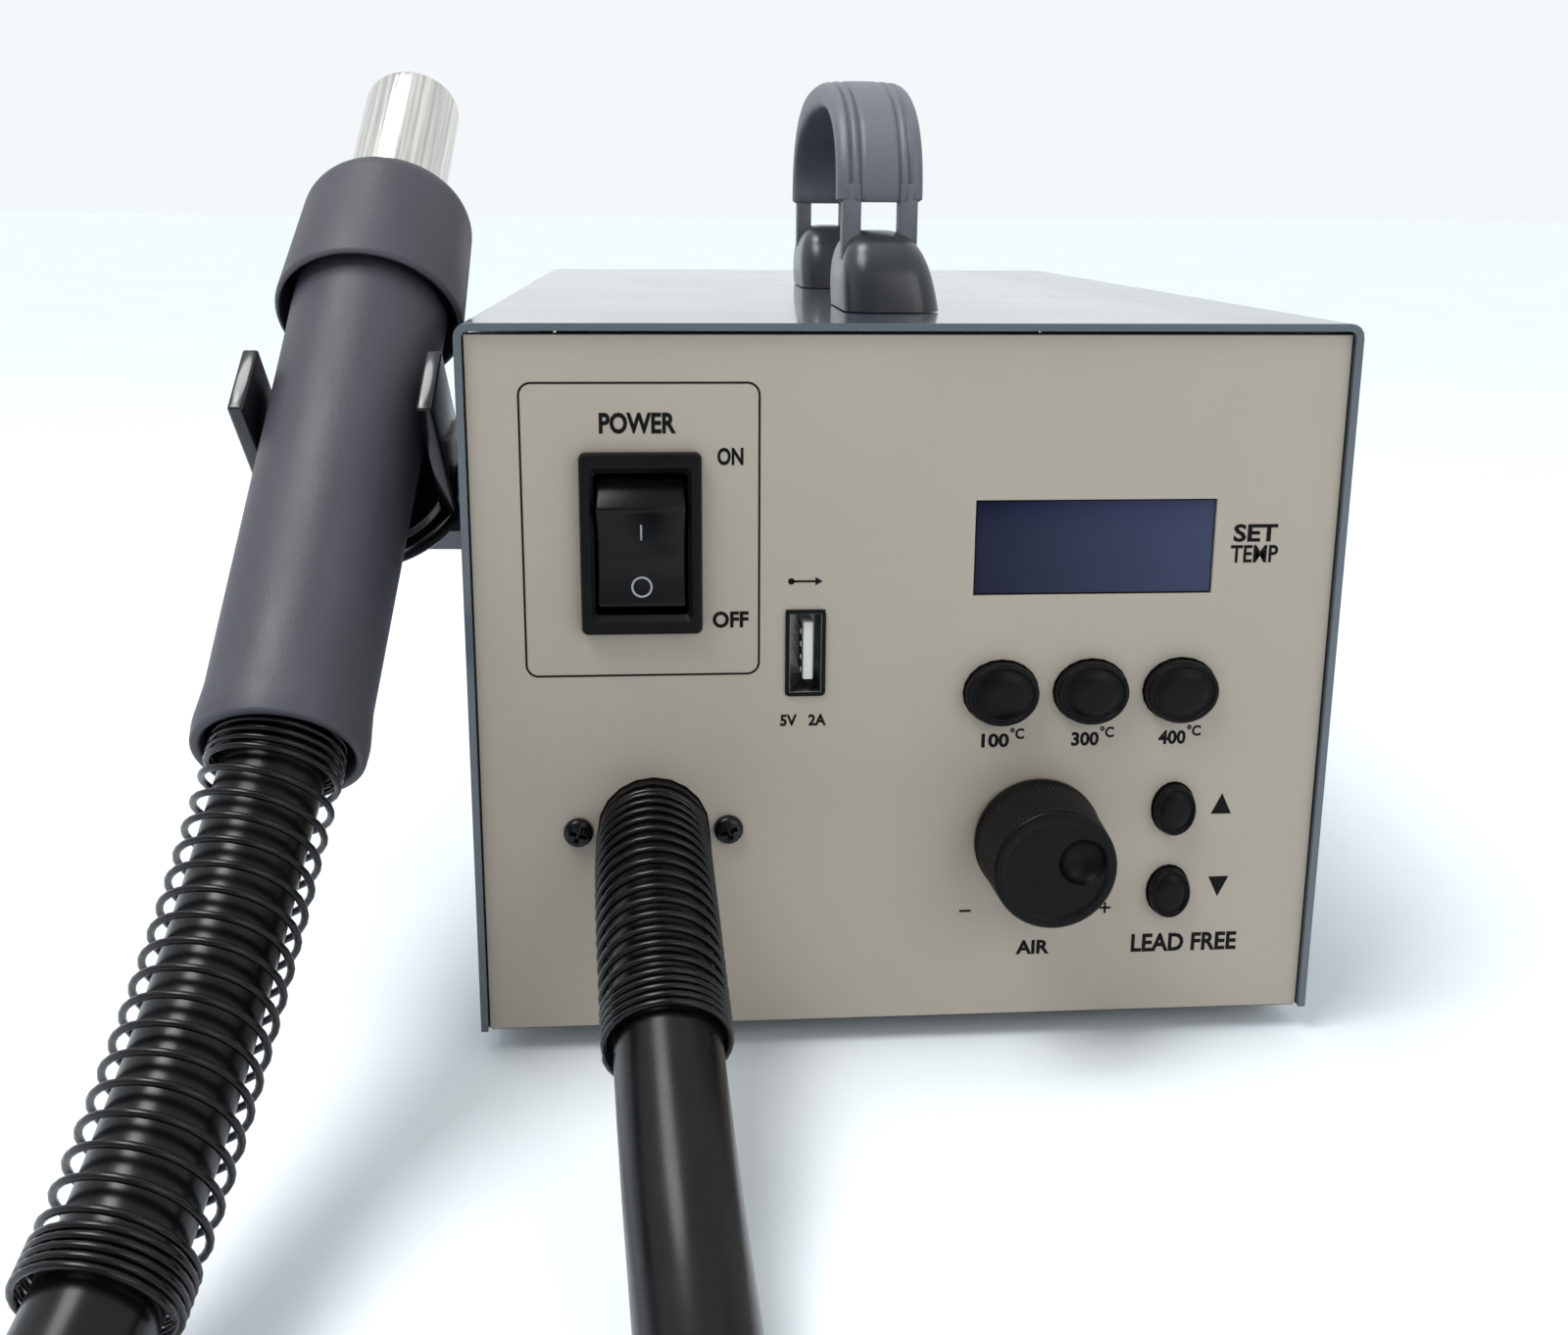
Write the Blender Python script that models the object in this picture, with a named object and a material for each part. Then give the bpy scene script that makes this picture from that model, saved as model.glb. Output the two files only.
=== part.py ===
"""Hot-air rework station: steel case, carry handle, hot-air gun in a side holder, and its air hose.

Metres, +Z up. The front panel faces -Y. The floor is z = 0 and the origin is under the middle
of the station without its hose.
"""

from math import atan2, cos, hypot, pi, radians, sin, sqrt

import bmesh
import bpy
from mathutils import Matrix, Vector

# Case
CASE_WIDTH = 0.187
CASE_DEPTH = 0.285
CASE_HEIGHT = 0.155
FOOT_HEIGHT = 0.006
FOOT_RADIUS = 0.008
FOOT_INSET = 0.026
SHEET = 0.0012  # chassis sheet metal
COVER_SHEET = 0.0016
COVER_BEND = 0.0029
PANEL_RECESS = 0.0015  # the cover's rim stands this far in front of the panel
PANEL_SHEET = 0.0015
GAP = 0.0003  # between pieces that touch
TOP_GAP = 0.0008  # under the cover, whose bend is round inside
FREE = 0.0004  # round pieces that move

# Front panel, measured from the middle of the case's width and from its underside
SWITCH_AT = (-0.0567, 0.1097)
SWITCH_SIZE = (0.0252, 0.0382)
SWITCH_OPENING = (0.0192, 0.0299)
SWITCH_RIM = 0.003
SWITCH_DEPTH = 0.022
SWITCH_SWING = radians(18)
USB_AT = (-0.0223, 0.0856)
USB_SIZE = (0.0078, 0.0182)
USB_WALL = 0.0006
USB_DEPTH = 0.015
DISPLAY_AT = (0.0393, 0.1079)
DISPLAY_SIZE = (0.0518, 0.0206)
PRESET_AT = ((0.0202, 0.0761), (0.0399, 0.0761), (0.0597, 0.0761))
PRESET_SIZE = (0.0159, 0.0139)
PRESET_RISE = 0.0038
STEP_AT = ((0.0599, 0.0487), (0.0599, 0.0291))
STEP_SIZE = (0.0091, 0.0115)
STEP_RISE = 0.0032
BUTTON_TRAVEL = 0.0015
KNOB_AT = (0.0293, 0.0426)
KNOB_RADIUS = 0.0141
KNOB_HEIGHT = 0.0190
KNOB_FLUTES = 24
KNOB_POINTER = radians(23)  # the dimple's place, from +X towards +Z
SHAFT_RADIUS = 0.0030
OUTLET_AT = (-0.0549, 0.0461)
OUTLET_SCREW_SPACING = 0.0324
BOARD_DEPTH = 0.0140  # the control board's face, behind the panel's face

# Carry handle
HANDLE_X = -0.0006
HANDLE_FRONT = 0.030
HANDLE_LENGTH = 0.150
HANDLE_FOOT = (0.0214, 0.040, 0.0175)
GRIP_X = HANDLE_X - 0.0022  # the feet lean to meet the grip
GRIP_WIDTH = 0.0195
GRIP_THICK = 0.0065
GRIP_RISE = 0.0537  # above the case
GRIP_END_RISE = 0.0240
GRIP_INSET = 0.0135  # the grip's ends, from the handle's ends
LEG_WIDTH = 0.0042
LEG_SPACING = 0.0128

# Hot-air gun; its own +Z points out of the nozzle and its zero is the collar's lower rim
GUN_LEAN = radians(50)  # from upright, backwards
GUN_SWING = radians(3.4)
BODY_TOP_RADIUS = 0.0180
GUN_AT = (-CASE_WIDTH / 2 - BODY_TOP_RADIUS - 0.0095, 0.0640, CASE_HEIGHT - 0.0040)  # above the case's underside
BODY_TAIL_RADIUS = 0.0163
BODY_LENGTH = 0.119
BODY_WALL = 0.0022
COLLAR_RADIUS = BODY_TOP_RADIUS + 0.0039
COLLAR_TOP_RADIUS = BODY_TOP_RADIUS + 0.0025
COLLAR_LENGTH = 0.038
COLLAR_MOUTH = 0.016
COLLAR_LIP = 0.0012
NOZZLE_RADIUS = 0.0121
NOZZLE_WALL = 0.0008
NOZZLE_RISE = 0.042  # above the collar
TAIL_RECESS = 0.015
GUN_LIFT = 0.060

# Holder; its arms are measured in the gun's own frame
HOLDER_LEVEL = 0.032  # below the collar's rim
HOLDER_ARM = 0.0036
HOLDER_ARM_HEIGHT = 0.0180
HOLDER_REACH = 0.0135
DISC_RADIUS = 0.0240
DISC_THICK = 0.0050
BRACKET_SHEET = 0.0030

# Air hose
HOSE_RADIUS = 0.0100
HOSE_WALL = 0.0020
HOSE_SIDES = 12
HOSE_STEPS = 50
WIRE_RADIUS = 0.0007
PANEL_COIL_RADIUS = HOSE_RADIUS + 0.0015
GUN_COIL_RADIUS = HOSE_RADIUS + 0.0025
NIPPLE_RADIUS = HOSE_RADIUS - HOSE_WALL - 0.0008

# The hose's middle line from the panel to the gun, above the floor, before the case is centred
HOSE_ROUTE = (
    (-0.0549, 0.0018, 0.0521),
    (-0.0549, -0.0060, 0.0521),
    (-0.0549, -0.0120, 0.0521),
    (-0.0546, -0.0230, 0.0508),
    (-0.0538, -0.0400, 0.0466),
    (-0.0522, -0.0640, 0.0358),
    (-0.0505, -0.0870, 0.0256),
    (-0.0488, -0.1050, 0.0178),
    (-0.0470, -0.1280, 0.0120),
    (-0.0438, -0.1518, 0.0105),
    (-0.0360, -0.1723, 0.0103),
    (-0.0257, -0.1875, 0.0103),
    (-0.0148, -0.2041, 0.0103),
    (-0.0064, -0.2294, 0.0103),
    (-0.0070, -0.2637, 0.0103),
    (-0.0222, -0.2979, 0.0103),
    (-0.0527, -0.3245, 0.0103),
    (-0.0950, -0.3350, 0.0103),
    (-0.1373, -0.3245, 0.0103),
    (-0.1678, -0.2979, 0.0103),
    (-0.1830, -0.2637, 0.0103),
    (-0.1836, -0.2294, 0.0103),
    (-0.1752, -0.2041, 0.0103),
    (-0.1643, -0.1875, 0.0103),
    (-0.1540, -0.1723, 0.0106),
    (-0.1462, -0.1530, 0.0124),
    (-0.1412, -0.1360, 0.0158),
    (-0.1382, -0.1200, 0.0210),
    (-0.1362, -0.1060, 0.0270),
    (-0.1339, -0.0884, 0.0365),
    (-0.1322, -0.0700, 0.0466),
    (-0.1304, -0.0507, 0.0587),
    (-0.1288, -0.0360, 0.0700),
)


def clear_scene():
    for item in list(bpy.data.objects):
        bpy.data.objects.remove(item, do_unlink=True)


def collection(name, hidden=False):
    made = bpy.data.collections.new(name)
    bpy.context.scene.collection.children.link(made)
    made.hide_render = hidden
    return made


clear_scene()
PARTS = collection("hot_air_station")
CUTTERS = collection("cutters", hidden=True)


def material(name, colour, roughness, metallic=0.0):
    made = bpy.data.materials.new(name)
    made.use_nodes = True
    shader = made.node_tree.nodes["Principled BSDF"]
    shader.inputs["Base Color"].default_value = (*colour, 1.0)
    shader.inputs["Roughness"].default_value = roughness
    shader.inputs["Metallic"].default_value = metallic
    made.diffuse_color = (*colour, 1.0)
    return made


def empty(name, location=(0, 0, 0), turn=None, parent=None):
    made = bpy.data.objects.new(name, None)
    made.empty_display_size = 0.02
    PARTS.objects.link(made)
    made.parent = parent
    made.location = location
    if turn is not None:
        made.rotation_euler = turn
    return made


def part(name, mesh, finish, parent, location=(0, 0, 0), turn=(0, 0, 0)):
    """An object of the station, with its own finish."""
    made = bpy.data.objects.new(name, mesh)
    mesh.name = name
    mesh.materials.append(finish)
    PARTS.objects.link(made)
    made.parent = parent
    made.location = location
    made.rotation_euler = turn
    return made


def boolean(target, mesh, operation, location=(0, 0, 0), turn=(0, 0, 0)):
    """Cuts a mesh out of the target, or adds it, both in the frame that the target's parent gives."""
    tool = bpy.data.objects.new(f"{target.name}_{operation.lower()}", mesh)
    CUTTERS.objects.link(tool)
    tool.parent = target.parent
    tool.location = location
    tool.rotation_euler = turn
    tool.display_type = "WIRE"
    tool.hide_render = True
    step = target.modifiers.new(operation.title(), "BOOLEAN")
    step.operation = operation
    step.object = tool
    step.solver = "EXACT"
    return tool


def cut(target, mesh, **place):
    return boolean(target, mesh, "DIFFERENCE", **place)


def join(target, mesh, **place):
    return boolean(target, mesh, "UNION", **place)


def solid(name, points, faces):
    """A closed mesh whose faces look outwards."""
    mesh = bpy.data.meshes.new(name)
    mesh.from_pydata([tuple(p) for p in points], [], faces)
    work = bmesh.new()
    work.from_mesh(mesh)
    bmesh.ops.recalc_face_normals(work, faces=work.faces)
    work.to_mesh(mesh)
    work.free()
    mesh.update()
    return mesh


def merged(name, meshes):
    """Several closed meshes that don't touch, as one."""
    work = bmesh.new()
    for mesh in meshes:
        work.from_mesh(mesh)
    made = bpy.data.meshes.new(name)
    work.to_mesh(made)
    work.free()
    return made


def block(low, high):
    """A box between two corners."""
    points = [(x, y, z) for x in (low[0], high[0]) for y in (low[1], high[1]) for z in (low[2], high[2])]
    faces = [(0, 1, 3, 2), (4, 6, 7, 5), (0, 4, 5, 1), (2, 3, 7, 6), (0, 2, 6, 4), (1, 5, 7, 3)]
    return solid("block", points, faces)


def block_at(centre, size):
    low = [c - s / 2 for c, s in zip(centre, size)]
    high = [c + s / 2 for c, s in zip(centre, size)]
    return block(low, high)


def prism(outline, low, high, axis="Z"):
    """A flat outline given a thickness. The outline is (x, y), or (y, z) when the axis is X."""
    count = len(outline)
    points = [(a, b, low) for a, b in outline] + [(a, b, high) for a, b in outline]
    if axis == "X":
        points = [(c, a, b) for a, b, c in points]
    if axis == "Y":
        points = [(a, c, b) for a, b, c in points]
    faces = [tuple(range(count)), tuple(range(2 * count - 1, count - 1, -1))]
    faces += [(i, (i + 1) % count, count + (i + 1) % count, count + i) for i in range(count)]
    return solid("prism", points, faces)


def turned(profile, steps=32, oval=(1.0, 1.0), flutes=0, flute_depth=0.0, fluted=()):
    """A closed (radius, height) outline turned about Z. The listed corners can be fluted."""
    rings, points = [], []
    for index, (radius, height) in enumerate(profile):
        if radius < 1e-9:
            rings.append([len(points)])
            points.append((0.0, 0.0, height))
            continue
        ring = []
        for step in range(steps):
            angle = 2 * pi * step / steps
            reach = radius
            if flutes and index in fluted:
                reach -= flute_depth * (0.5 - 0.5 * cos(flutes * angle + pi))
            ring.append(len(points))
            points.append((oval[0] * reach * cos(angle), oval[1] * reach * sin(angle), height))
        rings.append(ring)
    faces = []
    for first, second in zip(rings, rings[1:] + rings[:1]):
        if len(first) == 1 and len(second) == 1:
            continue
        for i in range(steps):
            j = (i + 1) % steps
            corners = [first[0]] if len(first) == 1 else [first[i], first[j]]
            corners += [second[0]] if len(second) == 1 else [second[j], second[i]]
            faces.append(tuple(corners))
    return solid("turned", points, faces)


def rod(radius, low, high, steps=24):
    return turned([(0, low), (radius, low), (radius, high), (0, high)], steps)


def rounded_rectangle(width, height, radius, centre=(0, 0), corner_steps=4):
    outline = []
    for index, (sx, sy) in enumerate(((1, 1), (-1, 1), (-1, -1), (1, -1))):
        cx = centre[0] + sx * (width / 2 - radius)
        cy = centre[1] + sy * (height / 2 - radius)
        for step in range(corner_steps + 1):
            angle = pi / 2 * (index + step / corner_steps)
            outline.append((cx + radius * cos(angle), cy + radius * sin(angle)))
    return outline


def along(route, steps):
    """Evenly spaced points on the smooth curve that the route's points pull towards them."""
    knots = [Vector(p) for p in route]
    knots = [2 * knots[0] - knots[1], *knots, 2 * knots[-1] - knots[-2]]
    fine = []
    for a, b, c, d in zip(knots, knots[1:], knots[2:], knots[3:]):
        for i in range(24):
            t = i / 24
            fine.append(((1 - t) ** 3 * a + (3 * t**3 - 6 * t**2 + 4) * b
                         + (3 * t**2 - 3 * t**3 + 3 * t + 1) * c + t**3 * d) / 6)
    fine.append(knots[-2])
    travelled = [0.0]
    for p, q in zip(fine, fine[1:]):
        travelled.append(travelled[-1] + (q - p).length)
    found, segment = [], 0
    for i in range(steps + 1):
        target = travelled[-1] * i / steps
        while segment < len(fine) - 2 and travelled[segment + 1] < target:
            segment += 1
        share = (target - travelled[segment]) / (travelled[segment + 1] - travelled[segment])
        found.append(fine[segment].lerp(fine[segment + 1], share))
    return found, travelled[-1]


def frames_on(line, side=Vector((1, 0, 0))):
    """At each point of a line: its direction and two sideways directions, carried without twist."""
    frames = []
    for i, point in enumerate(line):
        ahead = (line[min(i + 1, len(line) - 1)] - line[max(i - 1, 0)]).normalized()
        side = (side - side.dot(ahead) * ahead).normalized()
        frames.append((point, ahead, side, ahead.cross(side)))
    return frames


def swept(line, section, side=Vector((1, 0, 0))):
    """A closed section carried along a line, with flat ends."""
    points, faces, count = [], [], len(section)
    for point, _, across, up in frames_on(line, side):
        points += [point + a * across + b * up for a, b in section]
    for ring in range(len(line) - 1):
        for i in range(count):
            j = (i + 1) % count
            faces.append((ring * count + i, ring * count + j,
                          (ring + 1) * count + j, (ring + 1) * count + i))
    faces += [tuple(range(count)), tuple(range(len(points) - 1, len(points) - count - 1, -1))]
    return solid("swept", points, faces)


def pipe(line, outer, inner, sides):
    """A hollow tube along a line, open at both ends."""
    points, faces = [], []
    for point, _, across, up in frames_on(line):
        for radius in (outer, inner):
            for i in range(sides):
                angle = 2 * pi * i / sides
                points.append(point + radius * (cos(angle) * across + sin(angle) * up))
    row = 2 * sides
    last = (len(line) - 1) * row
    for i in range(sides):
        j = (i + 1) % sides
        for start in range(0, last, row):
            faces.append((start + i, start + j, start + row + j, start + row + i))
            faces.append((start + sides + i, start + row + sides + i,
                          start + row + sides + j, start + sides + j))
        faces.append((i, sides + i, sides + j, j))
        faces.append((last + i, last + j, last + sides + j, last + sides + i))
    return solid("pipe", points, faces)


def spring(line, length, first, turns, radius, steps=12):
    """A wire wound round a line. turns is a list of (how many, pitch) from the place called first."""
    frames = frames_on(line)
    spacing = length / (len(line) - 1)
    places, distance, angle = [], first, 0.0
    for count, pitch in turns:
        for _ in range(round(count * steps)):
            places.append((distance, angle))
            distance += pitch / steps
            angle += 2 * pi / steps
    wire = []
    for distance, angle in places:
        index = min(distance / spacing, len(line) - 1.001)
        share, low = index % 1, int(index)
        near, far = frames[low], frames[low + 1]
        middle = near[0].lerp(far[0], share)
        across, up = near[2].lerp(far[2], share), near[3].lerp(far[3], share)
        wire.append(middle + radius * (cos(angle) * across + sin(angle) * up))
    section = [(WIRE_RADIUS, 0), (0, WIRE_RADIUS), (-WIRE_RADIUS, 0), (0, -WIRE_RADIUS)]
    return swept(wire, section, side=frames[0][1])


# Finishes
PANEL_PAINT = material("panel_paint", (0.40, 0.37, 0.33), 0.5)
COVER_PAINT = material("cover_paint", (0.27, 0.33, 0.37), 0.3)
CHASSIS_STEEL = material("chassis_steel", (0.55, 0.56, 0.57), 0.4, 0.9)
BLACK_PLASTIC = material("black_plastic", (0.012, 0.012, 0.013), 0.35)
GREY_PLASTIC = material("grey_plastic", (0.045, 0.046, 0.055), 0.55)
RUBBER = material("rubber", (0.01, 0.01, 0.01), 0.6)
HOSE_RUBBER = material("hose_rubber", (0.008, 0.008, 0.008), 0.2)
STEEL = material("steel", (0.62, 0.60, 0.57), 0.25, 1.0)
BLACK_SCREW = material("black_screw", (0.02, 0.02, 0.02), 0.3, 0.8)
WHITE_PLASTIC = material("white_plastic", (0.8, 0.8, 0.78), 0.4)
GLASS = material("display_glass", (0.02, 0.022, 0.06), 0.08)
BOARD = material("circuit_board", (0.02, 0.12, 0.05), 0.5)
CERAMIC = material("ceramic", (0.8, 0.77, 0.7), 0.7)
COPPER = material("copper_and_iron", (0.35, 0.2, 0.12), 0.45, 0.6)
BRASS = material("brass", (0.6, 0.45, 0.2), 0.3, 1.0)

ROOT = empty("station")
CASE = empty("case_frame", (0, 0, FOOT_HEIGHT), parent=ROOT)
FRONT = empty("panel_frame", (0, PANEL_RECESS, FOOT_HEIGHT), (pi / 2, 0, 0), ROOT)
INSIDE_Y = PANEL_RECESS + PANEL_SHEET + GAP
BACK_Y = CASE_DEPTH - PANEL_RECESS
HALF_INSIDE = CASE_WIDTH / 2 - COVER_SHEET - GAP
INLET_AT = (0.050, 0.048)
INLET_SIZE = (0.030, 0.034)


def chassis():
    """Tray and rear wall, folded from one sheet."""
    top = CASE_HEIGHT - COVER_SHEET - TOP_GAP
    half = HALF_INSIDE
    tray = part("base_chassis", block((-half, INSIDE_Y, 0), (half, BACK_Y, top)), CHASSIS_STEEL, CASE)
    cut(tray, block((-half + SHEET, -0.02, SHEET), (half - SHEET, BACK_Y - SHEET, top + 0.02)))
    cut(tray, block((-half - 0.02, -0.03, 0.012), (half + 0.02, BACK_Y - SHEET, top + 0.03)))
    hole = (INLET_SIZE[0] + 2 * GAP, INLET_SIZE[1] + 2 * GAP)
    holes = [block_at((INLET_AT[0], BACK_Y, INLET_AT[1]), (hole[0], 0.01, hole[1]))]
    for i in range(6):
        holes.append(block_at((-0.045, BACK_Y, 0.070 + 0.010 * i), (0.060, 0.01, 0.004)))
    cut(tray, merged("rear_holes", holes))


def front_panel():
    """Painted plate that carries the controls, drawn as seen from the front."""
    half, top = HALF_INSIDE, CASE_HEIGHT - COVER_SHEET - TOP_GAP
    plate = part("front_panel", block((-half, 0, -PANEL_SHEET), (half, top, 0)), PANEL_PAINT, FRONT)
    deep = (-0.01, 0.01)
    holes = [block_at((*SWITCH_AT, 0), (SWITCH_SIZE[0] - 0.0026, SWITCH_SIZE[1] - 0.0036, 0.02)),
             block_at((*USB_AT, 0), (USB_SIZE[0] + 2 * GAP, USB_SIZE[1] + 2 * GAP, 0.02)),
             block_at((*DISPLAY_AT, 0), (*DISPLAY_SIZE, 0.02))]
    cut(plate, merged("square_holes", holes))
    rounds = []
    for places, size in ((PRESET_AT, PRESET_SIZE), (STEP_AT, STEP_SIZE)):
        for x, y in places:
            oval = (size[0] / 2 + FREE, size[1] / 2 + FREE)
            rounds.append(([(0, deep[0]), (1, deep[0]), (1, deep[1]), (0, deep[1])], oval, (x, y)))
    for radius, place in ((OUTLET_COLLAR + GAP, OUTLET_AT), (BUSHING_RADIUS + GAP, KNOB_AT)):
        rounds.append(([(0, deep[0]), (1, deep[0]), (1, deep[1]), (0, deep[1])], (radius, radius), place))
    for side in (-1, 1):
        place = (OUTLET_AT[0] + side * OUTLET_SCREW_SPACING / 2, OUTLET_AT[1])
        radius = SCREW_RADIUS + GAP
        rounds.append(([(0, deep[0]), (1, deep[0]), (1, deep[1]), (0, deep[1])], (radius, radius), place))
    made = []
    for profile, oval, place in rounds:
        mesh = turned(profile, 20, oval)
        mesh.transform(Matrix.Translation((*place, 0)))
        made.append(mesh)
    cut(plate, merged("round_holes", made))


def top_cover():
    """Inverted U of painted sheet with louvre slots in both sides."""
    outer, inner = COVER_BEND, COVER_BEND - COVER_SHEET
    half, top, t = CASE_WIDTH / 2, CASE_HEIGHT, COVER_SHEET
    outline = [(half, 0.0)]
    for sign, start in ((1, 0), (-1, pi / 2)):
        for step in range(5):
            angle = start + pi / 2 * step / 4
            outline.append((sign * (half - outer) + outer * cos(angle), top - outer + outer * sin(angle)))
    outline += [(-half, 0.0), (-half + t, 0.0)]
    for sign, start in ((-1, pi), (1, pi / 2)):
        for step in range(3):
            angle = start - pi / 2 * step / 2
            outline.append((sign * (half - outer) + inner * cos(angle), top - outer + inner * sin(angle)))
    outline.append((half - t, 0.0))
    shell = part("top_cover", prism(outline, 0.0, CASE_DEPTH, "Y"), COVER_PAINT, CASE)
    slots = []
    for side in (-1, 1):
        for i in range(9):
            place = (side * half, CASE_DEPTH - 0.030 - 0.009 * i, 0.085)
            slots.append(block_at(place, (0.012, 0.0035, 0.045)))
    cut(shell, merged("louvres", slots))
    holes = []
    for side in (-1, 1):
        for y in COVER_SCREW_Y:
            hole = rod(SCREW_RADIUS + GAP, -0.01, 0.01, 12)
            hole.transform(Matrix.Translation((side * half, y, COVER_SCREW_Z)) @ Matrix.Rotation(pi / 2, 4, "Y"))
            holes.append(hole)
    cut(shell, merged("screw_holes", holes))


SCREW_RADIUS = 0.0015
SCREW_HEAD = 0.0032
SCREW_HEAD_RISE = 0.0022
COVER_SCREW_Y = (0.040, CASE_DEPTH - 0.035)
COVER_SCREW_Z = 0.020


def screw(name, parent, location, turn, shank, head=SCREW_HEAD):
    """Pan-head cross screw; its +Z points out of the head, and the head's seat is its zero."""
    rise = SCREW_HEAD_RISE * head / SCREW_HEAD
    outline = [(0, -shank), (SCREW_RADIUS, -shank), (SCREW_RADIUS, GAP), (head, GAP),
               (head, 0.4 * rise), (0.82 * head, 0.85 * rise), (0.4 * head, rise), (0, rise)]
    made = part(name, turned(outline, 12), BLACK_SCREW, parent, location, turn)
    arm, width = 1.1 * head, 0.26 * head
    cross = [(arm / 2, width / 2), (width / 2, width / 2), (width / 2, arm / 2), (-width / 2, arm / 2),
             (-width / 2, width / 2), (-arm / 2, width / 2), (-arm / 2, -width / 2), (-width / 2, -width / 2),
             (-width / 2, -arm / 2), (width / 2, -arm / 2), (width / 2, -width / 2), (arm / 2, -width / 2)]
    cut(made, prism(cross, 0.45 * rise, rise + 0.001), location=location, turn=turn)
    return made


def case_screws():
    for index, (side, y) in enumerate((s, y) for s in (-1, 1) for y in COVER_SCREW_Y):
        screw(f"cover_screw_{index + 1}", CASE, (side * CASE_WIDTH / 2, y, COVER_SCREW_Z),
              (0, side * pi / 2, 0), COVER_SHEET)
    for index, side in enumerate((-1, 1)):
        place = (OUTLET_AT[0] + side * OUTLET_SCREW_SPACING / 2, OUTLET_AT[1], 0)
        screw(f"outlet_screw_{index + 1}", FRONT, place, (0, 0, radians(20 * side)), 0.006)


def feet():
    for index, (sx, y) in enumerate((s, y) for s in (-1, 1) for y in (FOOT_INSET, CASE_DEPTH - FOOT_INSET)):
        outline = [(0, 0), (0.85 * FOOT_RADIUS, 0), (FOOT_RADIUS, 0.0015),
                   (FOOT_RADIUS, FOOT_HEIGHT - GAP), (0, FOOT_HEIGHT - GAP)]
        x = sx * (CASE_WIDTH / 2 - FOOT_INSET)
        part(f"foot_{index + 1}", turned(outline, 20), RUBBER, ROOT, (x, y, 0))


def handle():
    """Two domed feet on the cover, and a grooved grip that stands on them on narrow legs."""
    width, length, rise = HANDLE_FOOT
    ends = (HANDLE_FRONT, HANDLE_FRONT + HANDLE_LENGTH)
    middle = sum(ends) / 2
    for name, y, sign in (("handle_foot_front", ends[0], 1), ("handle_foot_rear", ends[1], -1)):
        centre = (HANDLE_X, y + sign * length / 2, CASE_HEIGHT + GAP)
        outline = rounded_rectangle(width, length, 0.0065)
        levels = ((1.0, 0.0), (1.0, 0.45), (0.97, 0.66), (0.88, 0.84), (0.74, 0.96), (0.62, 1.0))
        points, faces, count = [], [], len(outline)
        for share, height in levels:
            lean = (GRIP_X - HANDLE_X) * height
            points += [(a * share + lean, b * share, rise * height) for a, b in outline]
        for ring in range(len(levels) - 1):
            for i in range(count):
                j = (i + 1) % count
                faces.append((ring * count + i, ring * count + j,
                              (ring + 1) * count + j, (ring + 1) * count + i))
        faces += [tuple(range(count)), tuple(range(len(points) - count, len(points)))]
        part(name, solid(name, points, faces), BLACK_PLASTIC, CASE, centre)
    start, end = ends[0] + GRIP_INSET, ends[1] - GRIP_INSET
    half = (end - start) / 2
    low = CASE_HEIGHT + GRIP_END_RISE
    high = CASE_HEIGHT + GRIP_RISE - GRIP_THICK / 2
    line = []
    for i in range(21):
        angle = pi * i / 20
        reach = abs(cos(angle)) ** 0.8
        line.append(Vector((GRIP_X, middle - half * (1 if cos(angle) > 0 else -1) * reach,
                            low + (high - low) * sin(angle) ** 0.75)))
    w, h, g = GRIP_WIDTH / 2, GRIP_THICK / 2, 0.0007
    section = [(-w, h * 0.4), (-w, -h * 0.5), (-w * 0.86, -h), (w * 0.86, -h), (w, -h * 0.5), (w, h * 0.4),
               (w * 0.86, h * 0.86), (w * 0.56, h), (w * 0.48, h - g), (w * 0.40, h),
               (-w * 0.40, h), (-w * 0.48, h - g), (-w * 0.56, h), (-w * 0.86, h * 0.86)]
    section = [(-a, -b) for a, b in section]
    grip = part("handle_grip", swept(line, section), GREY_PLASTIC, CASE)
    legs = []
    for y in (start, end):
        for side in (-1, 1):
            x = GRIP_X + side * LEG_SPACING / 2
            legs.append(block((x - LEG_WIDTH / 2, y - 0.0028, CASE_HEIGHT + rise + 2 * GAP),
                              (x + LEG_WIDTH / 2, y + 0.0028, low + 0.004)))
    join(grip, merged("grip_legs", legs))


def switch():
    """Rocker switch at rest on off: its upper end stands out of the rim."""
    x, y = SWITCH_AT
    wide, tall = SWITCH_SIZE
    frame = part("switch_housing", prism(rounded_rectangle(wide, tall, 0.0012), GAP, SWITCH_RIM),
                 BLACK_PLASTIC, FRONT, (x, y, 0))
    body = block_at((0, 0, -SWITCH_DEPTH / 2 + 0.0005),
                    (wide - 0.0026 - 2 * GAP, tall - 0.0036 - 2 * GAP, SWITCH_DEPTH + 0.001))
    join(frame, body, location=(x, y, 0))
    cavity = block((-SWITCH_OPENING[0] / 2, -SWITCH_OPENING[1] / 2, -SWITCH_DEPTH + 0.003),
                   (SWITCH_OPENING[0] / 2, SWITCH_OPENING[1] / 2, 0.01))
    cut(frame, cavity, location=(x, y, 0))
    half = SWITCH_OPENING[1] / 2 - 0.0007
    outline = [(0.0, 0.0052), (0.70 * half, 0.0072), (half, 0.0008), (0.75 * half, -0.0045),
               (0.0, -0.0062), (-0.75 * half, -0.0045), (-half, 0.0008), (-0.70 * half, 0.0072)]
    across = SWITCH_OPENING[0] / 2 - 0.0004
    rocker = part("power_rocker", prism(outline, -across, across, "X"), BLACK_PLASTIC, FRONT,
                  (x, y, SWITCH_PIVOT), (SWITCH_SWING / 2, 0, 0))
    return rocker


SWITCH_PIVOT = -0.0040


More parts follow.
